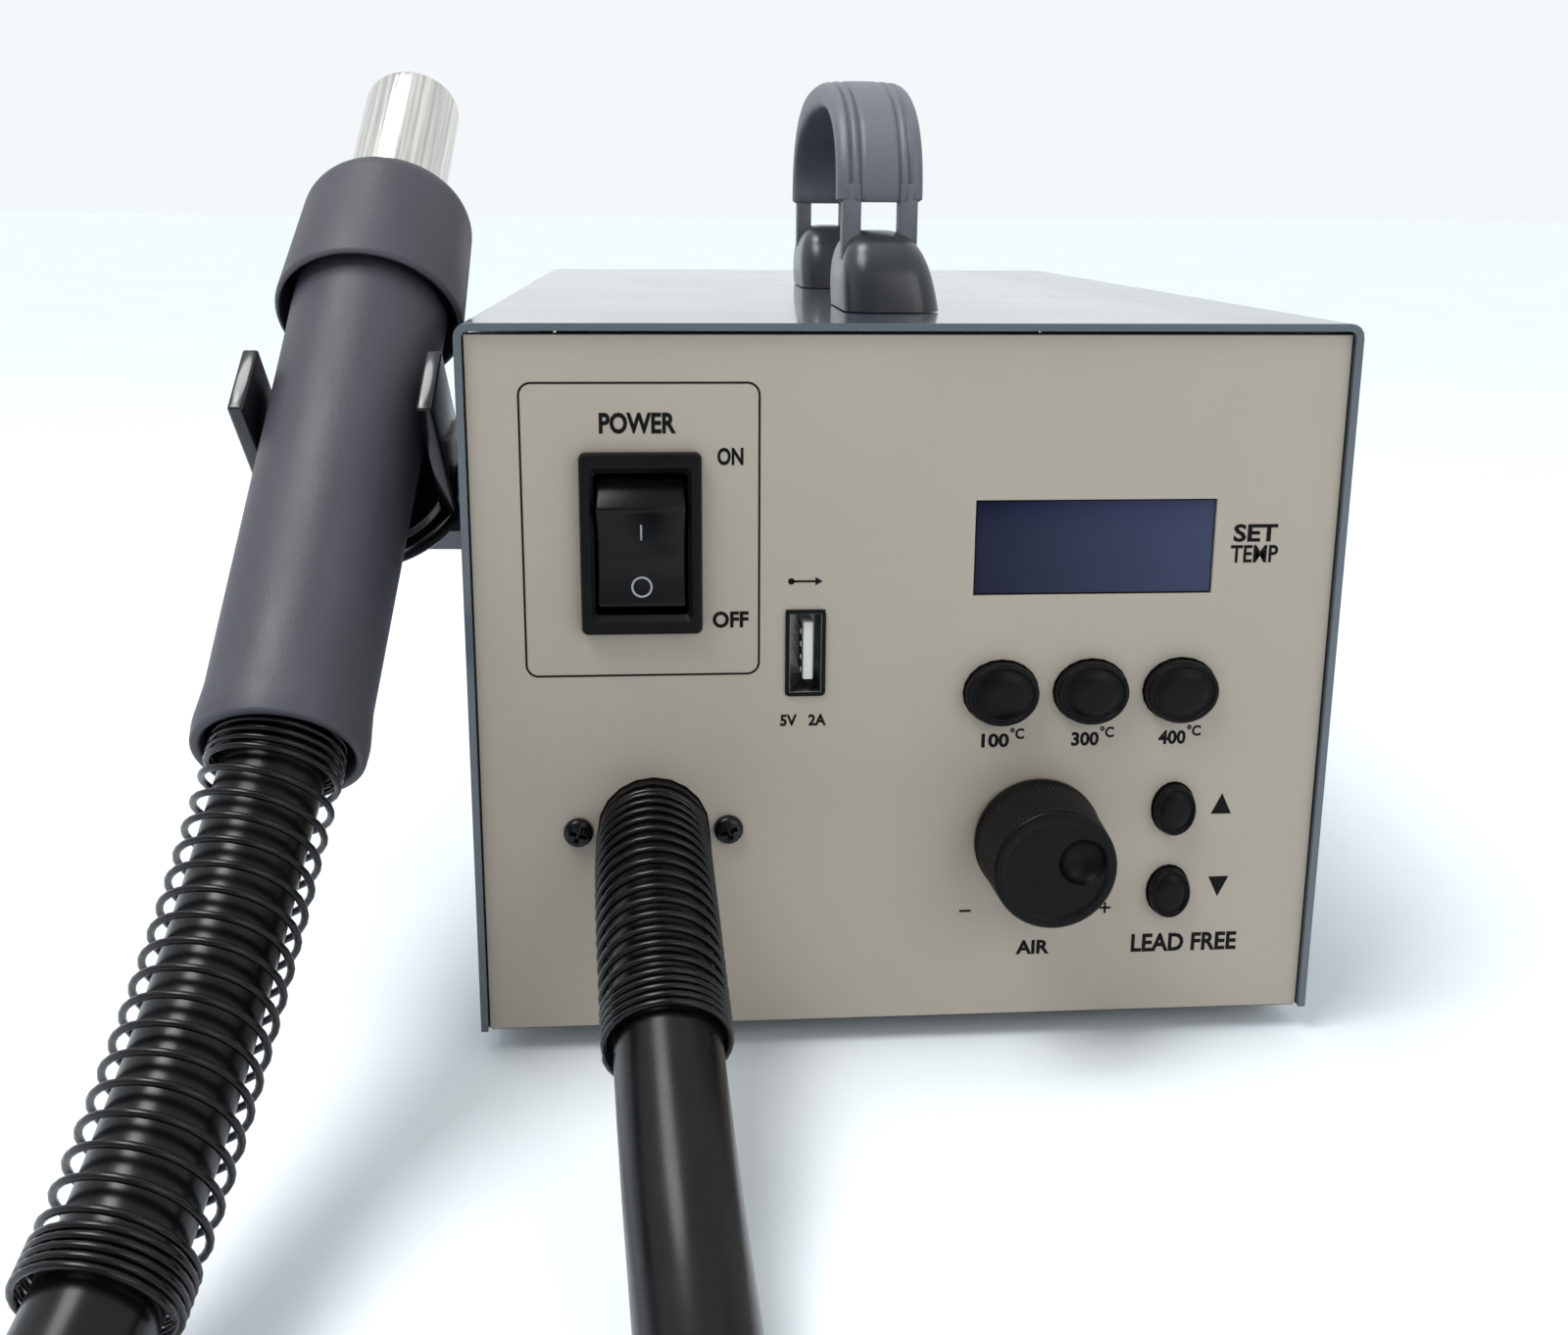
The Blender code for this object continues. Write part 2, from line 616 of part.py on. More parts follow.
def usb_socket():
    x, y = USB_AT
    wide, tall = USB_SIZE
    shell = part("usb_shell", block((-wide / 2, -tall / 2, -USB_DEPTH), (wide / 2, tall / 2, 0.0004)),
                 STEEL, FRONT, (x, y, 0))
    cut(shell, block((-wide / 2 + USB_WALL, -tall / 2 + USB_WALL, -USB_DEPTH + 0.002),
                     (wide / 2 - USB_WALL, tall / 2 - USB_WALL, 0.01)), location=(x, y, 0))
    part("usb_tongue", block((-0.0004, -0.35 * tall, -USB_DEPTH + 0.002 + GAP), (0.0018, 0.35 * tall, -0.0014)),
         WHITE_PLASTIC, FRONT, (x, y, 0))


def display():
    wide, tall = DISPLAY_SIZE
    window = (wide - 2 * GAP, tall - 2 * GAP)
    part("display_window", block_at((0, 0, -0.0014), (*window, 0.0018)), GLASS, FRONT, (*DISPLAY_AT, 0))
    part("display_module", block((-wide / 2 - 0.003, -tall / 2 - 0.003, -BOARD_DEPTH + GAP),
                                 (wide / 2 + 0.003, tall / 2 + 0.003, -0.0023 - GAP)),
         BLACK_PLASTIC, FRONT, (*DISPLAY_AT, 0))


def button(name, place, size, rise):
    """Domed oval cap with a raised rim, a flange behind the panel and a stem for its switch."""
    back = -PANEL_SHEET - GAP
    outline = [(0, STEM_END), (0.30, STEM_END), (0.30, back - 0.0012), (1.14, back - 0.0012), (1.14, back),
               (1.0, back), (1.0, 0.55 * rise), (0.93, 0.74 * rise), (0.82, 0.74 * rise), (0.70, 0.86 * rise),
               (0.40, 0.97 * rise), (0, rise)]
    mesh = turned(outline, 20, (size[0] / 2, size[1] / 2))
    part(name, mesh, BLACK_PLASTIC, FRONT, (*place, 0))


STEM_END = -0.0080
TACT_TOP = STEM_END - BUTTON_TRAVEL - 0.0002


def control_board():
    """Circuit board behind the controls, with one small switch under each button."""
    low, high = (0.006, 0.016), (HALF_INSIDE - 0.009, 0.124)
    part("control_board", block((*low, -BOARD_DEPTH - 0.0016), (*high, -BOARD_DEPTH)), BOARD, FRONT)
    names = ("100", "300", "400", "up", "down")
    for name, place in zip(names, (*PRESET_AT, *STEP_AT)):
        outline = [(0, -BOARD_DEPTH + GAP), (0.0033, -BOARD_DEPTH + GAP), (0.0033, TACT_TOP - 0.0012),
                   (0.0016, TACT_TOP - 0.0012), (0.0016, TACT_TOP), (0, TACT_TOP)]
        part(f"switch_under_{name}", turned(outline, 12), WHITE_PLASTIC, FRONT, (*place, 0))


def buttons():
    for name, place in zip(("button_100", "button_300", "button_400"), PRESET_AT):
        button(name, place, PRESET_SIZE, PRESET_RISE)
    for name, place in zip(("button_up", "button_down"), STEP_AT):
        button(name, place, STEP_SIZE, STEP_RISE)


BUSHING_RADIUS = 0.0036
KNOB_BACK = 0.0010


def air_control():
    """Knob on the shaft of a potentiometer, whose bushing and nut hold it to the panel."""
    x, y = KNOB_AT
    r, top, bore = KNOB_RADIUS, KNOB_HEIGHT, SHAFT_RADIUS + GAP
    outline = [(0.0095, KNOB_BACK), (r, KNOB_BACK), (r, 0.0030), (r * 0.985, 0.0034), (r * 0.945, top - 0.0012),
               (r * 0.89, top), (0, top - 0.0004), (0, 0.0150), (bore, 0.0150), (bore, 0.0060), (0.0095, 0.0060)]
    mesh = turned(outline, 2 * KNOB_FLUTES, flutes=KNOB_FLUTES, flute_depth=0.0006, fluted=(3, 4))
    place = (x, y, 0)
    knob = part("air_knob", mesh, BLACK_PLASTIC, FRONT, place)
    dish = turned([(0, -0.0022), (0.0020, -0.0019), (0.0036, -0.0009), (0.0045, 0.0010), (0, 0.0010)], 20)
    reach = 0.0062
    spot = (x + reach * cos(KNOB_POINTER), y + reach * sin(KNOB_POINTER), top)
    cut(knob, dish, location=spot)
    part("air_shaft", rod(SHAFT_RADIUS, -0.0095, 0.0150 - GAP), STEEL, FRONT, place)
    outline = [(0, -BOARD_DEPTH + GAP), (0.0080, -BOARD_DEPTH + GAP), (0.0080, -0.0050),
               (BUSHING_RADIUS, -0.0050), (BUSHING_RADIUS, 0.0042), (bore, 0.0042), (bore, -0.0100), (0, -0.0100)]
    part("air_potentiometer", turned(outline, 20), CHASSIS_STEEL, FRONT, place)
    nut = part("air_nut", prism([(0.0062 * cos(pi * i / 3), 0.0062 * sin(pi * i / 3)) for i in range(6)],
                                GAP, 0.0024), BRASS, FRONT, place)
    cut(nut, rod(BUSHING_RADIUS + GAP, -0.001, 0.01, 20), location=place)


OUTLET_COLLAR = 0.0118
OUTLET_RISE = 0.0030
SPIGOT_BACK = -0.0220


def outlet():
    """Hose fitting: a collar round the hose, a nipple inside it, and a flange behind the panel."""
    place = (*OUTLET_AT, 0)
    nipple, bore, socket = NIPPLE_RADIUS, NIPPLE_RADIUS - 0.0018, HOSE_RADIUS + FREE
    flange = -PANEL_SHEET - GAP
    outline = [(bore, SPIGOT_BACK), (nipple, SPIGOT_BACK), (nipple, flange - 0.0020), (OUTLET_COLLAR, flange - 0.0020),
               (OUTLET_COLLAR, OUTLET_RISE), (socket, OUTLET_RISE), (socket, -GAP - 0.0003),
               (nipple, -GAP - 0.0003), (nipple, 0.0090), (bore, 0.0090)]
    fitting = part("hose_outlet", turned(outline, 20), BLACK_PLASTIC, FRONT, place)
    plate = prism(rounded_rectangle(OUTLET_SCREW_SPACING + 0.010, 0.027, 0.005), flange - 0.0018, flange)
    join(fitting, plate, location=place)
    ream = rod(bore + 0.0002, flange - 0.010, 0.010, 20)
    cut(fitting, ream, location=place)
    holes = []
    for side in (-1, 1):
        hole = rod(SCREW_RADIUS + GAP, -0.02, 0.02, 12)
        hole.transform(Matrix.Translation((side * OUTLET_SCREW_SPACING / 2, 0, 0)))
        holes.append(hole)
    cut(fitting, merged("flange_holes", holes), location=place)


BLOWER_AT = (OUTLET_AT[0], 0.078, OUTLET_AT[1] + 0.024)
BLOWER_RADIUS = 0.036
BLOWER_WIDTH = 0.026
IMPELLER_RADIUS = 0.030


def blower():
    """Centrifugal blower: volute, impeller and motor on one axis, blowing into the hose outlet."""
    x, y, z = BLOWER_AT
    sideways = (0, pi / 2, 0)
    half, wall = BLOWER_WIDTH / 2, 0.002
    shell = part("blower_volute", rod(BLOWER_RADIUS, -half, half, 32), GREY_PLASTIC, CASE, BLOWER_AT, sideways)
    low, high = OUTLET_AT[1] - 0.0115, OUTLET_AT[1] + 0.0115
    join(shell, block((x - half, 0.020, low), (x + half, y, high)))
    join(shell, block((x - half + 0.001, y - 0.012, SHEET + GAP), (x + half - 0.001, y + 0.012, z - 0.030)))
    cut(shell, rod(BLOWER_RADIUS - wall, -half + wall, half - wall, 32), location=BLOWER_AT, turn=sideways)
    cut(shell, block((x - half + wall, 0.010, low + wall), (x + half - wall, y, high - wall)))
    cut(shell, rod(0.014, -0.03, 0.0, 24), location=BLOWER_AT, turn=sideways)
    cut(shell, rod(0.006, 0.0, 0.03, 16), location=BLOWER_AT, turn=sideways)
    blades, outline = 11, []
    for i in range(blades):
        for radius, share in ((0.010, 0.0), (IMPELLER_RADIUS, 0.10), (IMPELLER_RADIUS, 0.26), (0.010, 0.36)):
            angle = 2 * pi * (i + share) / blades
            outline.append((radius * cos(angle), radius * sin(angle)))
    wheel = part("blower_impeller", prism(outline, -0.009, 0.009), WHITE_PLASTIC, CASE, BLOWER_AT, sideways)
    cut(wheel, rod(0.0024, -0.02, 0.02, 16), location=BLOWER_AT, turn=sideways)
    inner = half + GAP
    motor = [(0, -0.008), (0.0020, -0.008), (0.0020, inner), (0.0160, inner), (0.0170, inner + 0.0015),
             (0.0170, inner + 0.030), (0.0060, inner + 0.031), (0.0060, inner + 0.034), (0, inner + 0.034)]
    part("blower_motor", turned(motor, 24), STEEL, CASE, BLOWER_AT, sideways)


def power_supply():
    """Mains transformer, switching board and its heat sink."""
    floor = SHEET + GAP
    x, y = HALF_INSIDE - 0.046, BACK_Y - 0.1135
    core = part("transformer", block((x - 0.031, y - 0.023, floor), (x + 0.031, y + 0.023, floor + 0.052)),
                COPPER, CASE)
    join(core, block((x - 0.020, y - 0.033, floor + 0.008), (x + 0.020, y + 0.033, floor + 0.044)))
    left, right, near, far = 0.009 - HALF_INSIDE, -0.010, 0.456 * CASE_DEPTH, BACK_Y - 0.0385
    board = part("power_board", block((left, near, 0.0090), (right, far, 0.0106)), BOARD, CASE)
    posts = []
    for x in (left + 0.005, right - 0.005):
        for y in (near + 0.005, far - 0.005):
            posts.append(block((x - 0.002, y - 0.002, floor), (x + 0.002, y + 0.002, 0.0100)))
    join(board, merged("posts", posts))
    width, fins, fin = 0.050, 6, 0.0022
    outline = [(-width / 2, 0.0), (width / 2, 0.0)]
    pitch = (width - fin) / (fins - 1)
    for i in range(fins):
        edge = width / 2 - i * pitch
        outline += [(edge, 0.030), (edge - fin, 0.030)]
        if i < fins - 1:
            outline += [(edge - fin, 0.004), (edge - pitch, 0.004)]
    sink = prism(outline, -0.030, 0.030, "Y")
    part("heat_sink", sink, CHASSIS_STEEL, CASE, ((left + right) / 2, (near + far) / 2, 0.0106 + GAP))


FUSE_SIZE = (0.018, 0.0080)
FUSE_DROP = 0.0115
FUSE_TRAVEL = 0.012


def mains_inlet():
    """Mains socket in the rear wall, with a recess, three pins and a fuse drawer below it."""
    x, z = INLET_AT
    wide, tall = INLET_SIZE
    deep = 0.026
    place = (x, BACK_Y, z)
    body = part("mains_inlet", block((-wide / 2, -deep, -tall / 2), (wide / 2, 0.0005, tall / 2)),
                BLACK_PLASTIC, CASE, place)
    join(body, block((-wide / 2 - 0.002, GAP, -tall / 2 - 0.002), (wide / 2 + 0.002, 0.0025, tall / 2 + 0.002)),
         location=place)
    cut(body, prism(rounded_rectangle(0.0242, 0.0164, 0.003, (0, 0.0055)), -0.018, 0.02, "Y"), location=place)
    cut(body, block_at((0, -0.005, -FUSE_DROP), (FUSE_SIZE[0] + 2 * FREE, 0.034, FUSE_SIZE[1] + 2 * FREE)),
        location=place)
    pins = []
    for px, pz in ((-0.007, 0.004), (0.007, 0.004), (0.0, 0.008)):
        pins.append(block_at((px, -0.0145, pz), (0.002, 0.013, 0.004)))
    join(body, merged("pins", pins), location=place)
    drawer = part("fuse_drawer", block((-FUSE_SIZE[0] / 2, -0.020, -FUSE_SIZE[1] / 2),
                                       (FUSE_SIZE[0] / 2, 0.0030, FUSE_SIZE[1] / 2)),
                  GREY_PLASTIC, CASE, (x, BACK_Y, z - FUSE_DROP))
    cut(drawer, block_at((0, -0.011, 0.003), (0.006, 0.012, 0.008)), location=drawer.location)


def gun_turn():
    """The turn that takes +Z to the nozzle's direction: back, up and slightly to the right."""
    nozzle = Vector((sin(GUN_SWING) * sin(GUN_LEAN), cos(GUN_SWING) * sin(GUN_LEAN), cos(GUN_LEAN)))
    right = Vector((0, 0, 1)).cross(nozzle).normalized() * -1
    ahead = nozzle.cross(right)
    return Matrix((right, ahead, nozzle)).transposed().to_euler()


GUN = empty("gun_axis", (GUN_AT[0], GUN_AT[1], GUN_AT[2] + FOOT_HEIGHT), gun_turn(), ROOT)
HOLDER = empty("holder_frame", GUN.location, GUN.rotation_euler, ROOT)


def gun():
    """Grip tube, heat collar, steel nozzle, heater and tail fitting, all turned about the gun's axis."""
    top, tail, length = BODY_TOP_RADIUS, BODY_TAIL_RADIUS, BODY_LENGTH
    seat = 0.0200
    inner = tail - BODY_WALL
    outline = [(top - BODY_WALL, seat - GAP), (top, seat - GAP), (top, 0.0), (top - 0.0003, -0.010),
               (tail, -length + 0.012), (tail + 0.0006, -length + 0.004), (tail + 0.0001, -length),
               (inner + 0.0006, -length), (inner, -length + 0.002), (inner, -0.020)]
    part("gun_body", turned(outline, 28), GREY_PLASTIC, GUN)
    hole = NOZZLE_RADIUS + GAP
    r0, r1, high, mouth = COLLAR_RADIUS, COLLAR_TOP_RADIUS, COLLAR_LENGTH, COLLAR_MOUTH
    outline = [(r0 - COLLAR_LIP, 0.0), (r0 - 0.0006, 0.0), (r0, 0.0010), (r1, high - 0.0045), (r1 - 0.0012, high - 0.0015),
               (r1 - 0.0040, high), (hole, high), (hole, seat), (top + GAP, seat), (top + GAP, mouth),
               (r0 - COLLAR_LIP, mouth)]
    part("gun_collar", turned(outline, 28), GREY_PLASTIC, GUN)
    tip = high + NOZZLE_RISE
    r, wall = NOZZLE_RADIUS, NOZZLE_WALL
    outline = [(r - wall, -0.018), (r, -0.018), (r, tip - 0.0003), (r - 0.0003, tip), (r - wall, tip - 0.0003)]
    part("nozzle_tube", turned(outline, 28), STEEL, GUN)
    core = r - wall - 0.0012
    outline = [(0.002, -0.010), (core, -0.010), (core, 0.0), (core - 0.0015, 0.001), (core - 0.0015, tip - 0.022),
               (core, tip - 0.021), (core, tip - 0.018), (0.002, tip - 0.018)]
    part("heater_core", turned(outline, 24), CERAMIC, GUN)
    floor = -length + TAIL_RECESS
    nipple = NIPPLE_RADIUS
    outline = [(nipple - 0.0018, floor - 0.0095), (nipple, floor - 0.0095), (nipple, floor), (inner - GAP, floor),
               (inner - GAP, floor + 0.004), (nipple - 0.0018, floor + 0.004)]
    part("gun_tail", turned(outline, 20), BLACK_PLASTIC, GUN)


def holder():
    """Fork: a dished disc behind the gun with two arms round it. Bracket: its arm from the case's side."""
    inside = BODY_TOP_RADIUS + 0.0004
    outside = inside + HOLDER_ARM
    back = inside + 0.0030
    level = -HOLDER_LEVEL
    facing = (pi / 2, 0, 0)  # the disc's face looks at the gun, along the frame's own -Y
    spot = (0, back, level)
    r, t = DISC_RADIUS, DISC_THICK
    outline = [(0, -t), (r - 0.003, -t), (r, -t + 0.002), (r, -0.0012), (r - 0.0012, 0), (r - 0.0035, 0),
               (r - 0.0075, -0.0022), (0, -0.0022)]
    fork = part("holder_fork", turned(outline, 28), BLACK_PLASTIC, HOLDER, spot, facing)
    high = HOLDER_ARM_HEIGHT / 2
    for side in (-1, 1):
        arm = [(-HOLDER_REACH, -high + 0.002), (-HOLDER_REACH + 0.001, -high), (back + 0.0040, -high),
               (back + 0.0040, high), (-HOLDER_REACH + 0.001, high), (-HOLDER_REACH, high - 0.002)]
        edges = sorted((side * inside, side * outside))
        join(fork, prism(arm, edges[0], edges[1], "X"), location=(0, 0, level))
    wall_x = -CASE_WIDTH / 2 - GAP
    sheet = BRACKET_SHEET
    disc = HOLDER.rotation_euler.to_matrix() @ Vector((0, back + t, level)) + Vector(HOLDER.location)
    plate = block((wall_x - sheet, disc.y - 0.008, disc.z - 0.026), (wall_x, disc.y + 0.040, disc.z + 0.014))
    bracket = part("holder_bracket", plate, GREY_PLASTIC, ROOT)
    axis = HOLDER.rotation_euler
    arm = block((-0.009, 0.0006, -0.010), (wall_x - 0.0005 - disc.x, 0.0076, 0.010))
    place = disc
    join(bracket, arm, location=place, turn=axis)
    for index, (dy, dz) in enumerate(((0.030, 0.006), (0.030, -0.018))):
        place = (wall_x - sheet - GAP, disc.y + dy, disc.z + dz)
        screw(f"holder_screw_{index + 1}", ROOT, place, (0, -pi / 2, 0), 0.0)
    head = [(0, -0.0018), (0.0042, -0.0018), (0.0042, -0.0008), (0.003, 0), (0, 0)]
    part("holder_pivot", turned(head, 16), BLACK_SCREW, HOLDER, (0, back - 0.0001, level), facing)


def hose():
    """Air hose from the panel's outlet to the gun's tail, with a spring guard at each end."""
    floor = -BODY_LENGTH + TAIL_RECESS
    turn = GUN.rotation_euler.to_matrix()
    seat = turn @ Vector((0, 0, floor - GAP - 0.0004)) + GUN.location
    lead = turn @ Vector((0, 0, floor - 0.016)) + GUN.location
    line, length = along((*HOSE_ROUTE, lead, seat), HOSE_STEPS)
    part("air_hose", pipe(line, HOSE_RADIUS, HOSE_RADIUS - HOSE_WALL, HOSE_SIDES), HOSE_RUBBER, ROOT)
    fine, _ = along((*HOSE_ROUTE, lead, seat), 8 * HOSE_STEPS)
    tight = 2 * WIRE_RADIUS + GAP
    first = OUTLET_RISE + PANEL_RECESS + WIRE_RADIUS + 0.0012
    mesh = spring(fine, length, first, ((1, tight), (15, 0.0034), (5, tight)), PANEL_COIL_RADIUS)
    part("spring_guard_panel", mesh, RUBBER, ROOT)
    turns = ((5, tight), (17, 0.0054), (10, tight))
    extent = sum(count * pitch for count, pitch in turns)
    mesh = spring(fine, length, length - extent - 0.0012, turns, GUN_COIL_RADIUS)
    part("spring_guard_gun", mesh, RUBBER, ROOT)


def centre_on_floor():
    """Moves the whole station so that the middle of its footprint, hose left out, is at the origin."""
    bpy.context.view_layer.update()
    graph = bpy.context.evaluated_depsgraph_get()
    low, high = Vector((9, 9, 9)), Vector((-9, -9, -9))
    for item in PARTS.objects:
        if item.type != "MESH" or item.name in ("air_hose", "spring_guard_panel", "spring_guard_gun"):
            continue
        shape = item.evaluated_get(graph)
        mesh = shape.to_mesh()
        for vertex in mesh.vertices:
            point = shape.matrix_world @ vertex.co
            low = Vector(map(min, low, point))
            high = Vector(map(max, high, point))
        shape.to_mesh_clear()
    ROOT.location = (-(low.x + high.x) / 2, -(low.y + high.y) / 2, -low.z)


chassis()
front_panel()
top_cover()
case_screws()
feet()
handle()
switch()
usb_socket()
display()
buttons()
control_board()
air_control()
outlet()
blower()
power_supply()
mains_inlet()
gun()
holder()
hose()
centre_on_floor()
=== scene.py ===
# %% [markdown]
# A hot-air rework station. A painted steel case holds a blower; a rubber hose takes the air to
# a hot-air gun, which rests in a holder on the case's left side. This lesson dresses the
# station's CAD frame: each visible piece gets its real surface and finish.
#
# Most shapes here are surfaces worked out with numpy. A shape is a grid of points given by a
# formula, and the grid's neighbours make its faces. That keeps every size in sight and lets a
# whole piece be worked out at once.

from math import cos, pi, radians, sin

import bmesh
import bpy
import numpy as np
from mathutils import Matrix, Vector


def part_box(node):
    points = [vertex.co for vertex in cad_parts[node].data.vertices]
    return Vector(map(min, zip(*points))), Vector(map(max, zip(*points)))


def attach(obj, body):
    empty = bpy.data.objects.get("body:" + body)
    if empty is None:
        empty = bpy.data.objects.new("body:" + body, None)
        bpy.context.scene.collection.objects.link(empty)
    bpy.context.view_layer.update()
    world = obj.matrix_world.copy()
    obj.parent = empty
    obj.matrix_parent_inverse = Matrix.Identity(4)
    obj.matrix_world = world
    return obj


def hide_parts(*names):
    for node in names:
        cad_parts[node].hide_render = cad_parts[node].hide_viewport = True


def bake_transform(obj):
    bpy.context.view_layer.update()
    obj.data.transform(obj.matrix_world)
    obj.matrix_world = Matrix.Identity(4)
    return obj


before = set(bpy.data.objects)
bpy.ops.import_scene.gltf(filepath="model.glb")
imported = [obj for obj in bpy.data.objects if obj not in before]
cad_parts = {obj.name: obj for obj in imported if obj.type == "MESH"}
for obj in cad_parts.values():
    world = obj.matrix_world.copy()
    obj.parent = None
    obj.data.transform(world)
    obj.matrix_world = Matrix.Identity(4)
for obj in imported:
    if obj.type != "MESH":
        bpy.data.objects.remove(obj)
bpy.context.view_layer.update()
print("nodes:", len(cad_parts))

# %% [markdown]
# Positions come from the frame. The case's front lower edge is the zero that the station was
# drawn from, so two sets of axes are enough: the panel's, which look out of the front, and the
# gun's, whose third axis points out of the nozzle.


# %% Axes
def box(node):
    """A node's lowest and highest corners as arrays."""
    low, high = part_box(node)
    return np.array(low, float), np.array(high, float)


def middle(node):
    """The point half-way between a node's corners."""
    low, high = box(node)
    return (low + high) / 2


def placed(points, origin, axes):
    """Points given along three axes, in the frame: origin + x first axis + y second + z third."""
    return np.asarray(points, float) @ np.asarray(axes, float) + np.asarray(origin, float)


case_low, case_high = box("top_cover")
CASE_ZERO = np.array([(case_low[0] + case_high[0]) / 2, case_low[1], case_low[2]])
FLOOR_ZERO = CASE_ZERO * (1, 1, 0)
PANEL_ZERO = np.array([CASE_ZERO[0], box("front_panel")[0][1], CASE_ZERO[2]])
PANEL = np.array([[1, 0, 0], [0, 0, 1], [0, -1, 0]], float)
UPRIGHT = np.eye(3)

GUN_LEAN, GUN_SWING = radians(50), radians(3.4)
GUN_ZERO = CASE_ZERO + (-0.1210, 0.0640, 0.1510)
gun_out = np.array([sin(GUN_SWING) * sin(GUN_LEAN), cos(GUN_SWING) * sin(GUN_LEAN), cos(GUN_LEAN)])
gun_side = np.array([gun_out[1], -gun_out[0], 0]) / np.hypot(gun_out[0], gun_out[1])
GUN = np.array([gun_side, np.cross(gun_out, gun_side), gun_out])


def on_panel(x, y, z=0.0):
    """A place on the panel: across from the case's middle, up from its underside, out from the paint."""
    return placed((x, y, z), PANEL_ZERO, PANEL)


print("case zero", CASE_ZERO.round(4), "gun zero", GUN_ZERO.round(4))

# %% [markdown]
# The camera comes first, because the hose has to lie where it sees it. It stands in front of
# the station's left half, a little above the case, and looks down by 13 degrees. A camera's own
# axes are right, up and backwards, so those three make its matrix.

# %% Camera
CAMERA_AT = CASE_ZERO + (-0.05186, -0.32451, 0.17760)
YAW, PITCH, ROLL = radians(4.37), radians(13.39), radians(0.38)


def looking(place, yaw, pitch, roll):
    """A camera's matrix. It looks along (sin yaw cos pitch, cos yaw cos pitch, -sin pitch) and is then
    rolled about that direction."""
    ahead = np.array([sin(yaw) * cos(pitch), cos(yaw) * cos(pitch), -sin(pitch)])
    level = np.array([cos(yaw), -sin(yaw), 0])
    upward = np.cross(level, ahead)
    right = cos(roll) * level + sin(roll) * upward
    up = cos(roll) * upward - sin(roll) * level
    rows = np.vstack([np.array([right, up, -ahead, place]).T, [0, 0, 0, 1]])
    return Matrix(rows.tolist())


lens = bpy.data.cameras.new("camera")
lens.sensor_width = 36
lens.lens = 36.67
lens.shift_y = -0.0506
lens.clip_start = 0.01
camera = bpy.data.objects.new("camera", lens)
bpy.context.scene.collection.objects.link(camera)
camera.matrix_world = looking(CAMERA_AT, YAW, PITCH, ROLL)
bpy.context.scene.camera = camera
print("camera at", CAMERA_AT.round(3), "lens", lens.lens)

# %% [markdown]
# Three small tools build every new piece. The first joins a grid of points into faces. The
# second turns a profile about an axis. The third takes the sharpness off a profile's corners,
# because no moulded or folded edge is truly sharp, and the small round is what catches light.


# %% Grids, turning and soft corners
def shell(points, around=True, ring=False, caps=False):
    """A grid of points as (points, faces): each face joins (i, j), (i+1, j), (i+1, j+1) and (i, j+1).
    around joins the last column to the first, ring the last row to the first; caps closes both end rows."""
    rows, columns = points.shape[:2]
    index = np.arange(rows * columns).reshape(rows, columns)
    i = np.arange(rows if ring else rows - 1)
    j = np.arange(columns if around else columns - 1)
    k, m = (i + 1) % rows, (j + 1) % columns
    corners = [index[np.ix_(i, j)], index[np.ix_(k, j)], index[np.ix_(k, m)], index[np.ix_(i, m)]]
    faces = np.stack(corners, axis=-1).reshape(-1, 4).tolist()
    if caps:
        faces += [index[0].tolist(), index[-1].tolist()]
    return points.reshape(-1, 3), faces


def soft(corners, radius, steps=4, closed=True):
    """A profile with round corners: a becomes b along (1-t)^2 a + 2t(1-t) corner + t^2 b."""
    p = np.array(corners, float)
    back, on = np.roll(p, 1, 0) - p, np.roll(p, -1, 0) - p
    lengths = np.stack([np.linalg.norm(back, axis=1), np.linalg.norm(on, axis=1)])
    reach = np.minimum(np.broadcast_to(radius, len(p)), 0.45 * lengths.min(axis=0))
    if not closed:
        reach[[0, -1]] = 0
    a = p + back / lengths[0][:, None] * reach[:, None]
    b = p + on / lengths[1][:, None] * reach[:, None]
    t = np.linspace(0, 1, steps)[:, None, None]
    curve = (1 - t) ** 2 * a + 2 * t * (1 - t) * p + t**2 * b
    found = curve.transpose(1, 0, 2).reshape(-1, 2)
    return found if closed else found[steps - 1 : len(found) - steps + 1]


def turned(profile, sides=64, oval=(1, 1)):
    """A profile of (radius, height) turned about the third axis: (r cos a, r sin a, height)."""
    a = np.linspace(0, 2 * pi, sides, endpoint=False)
    r, h = np.asarray(profile, float).T[..., None]
    return np.stack([oval[0] * r * np.cos(a), oval[1] * r * np.sin(a), h + 0 * a], axis=-1)


def moved(points, origin, axes):
    """A grid put in its place along three axes."""
    return placed(points, origin, axes)


# %% [markdown]
# Frames, lids and feet are rounded rectangles. Their ring is four corner centres plus a
# direction, so an inset only shortens the direction and the corners stay round.


# %% Rounded rectangles and soft boxes
def corner_ring(width, height, radius, steps=6):
    """A rounded rectangle's corner centres and outward directions, one per point."""
    a = np.arange(4)[:, None] * pi / 2 + np.linspace(0, pi / 2, steps)
    sx, sy = np.array([1, -1, -1, 1])[:, None], np.array([1, 1, -1, -1])[:, None]
    centres = np.stack([sx * (width / 2 - radius) + 0 * a, sy * (height / 2 - radius) + 0 * a], axis=-1)
    return centres.reshape(-1, 2), np.stack([np.cos(a), np.sin(a)], axis=-1).reshape(-1, 2)


def framed(width, height, radius, profile, steps=6):
    """A profile of (offset, level) carried round a rounded rectangle:
    centre + (radius + offset) direction."""
    centres, out = corner_ring(width, height, radius, steps)
    offset, level = np.asarray(profile, float).T
    flat = centres + (radius + offset)[:, None, None] * out
    return np.concatenate([flat, np.broadcast_to(level[:, None, None], (*flat.shape[:2], 1))], axis=-1)


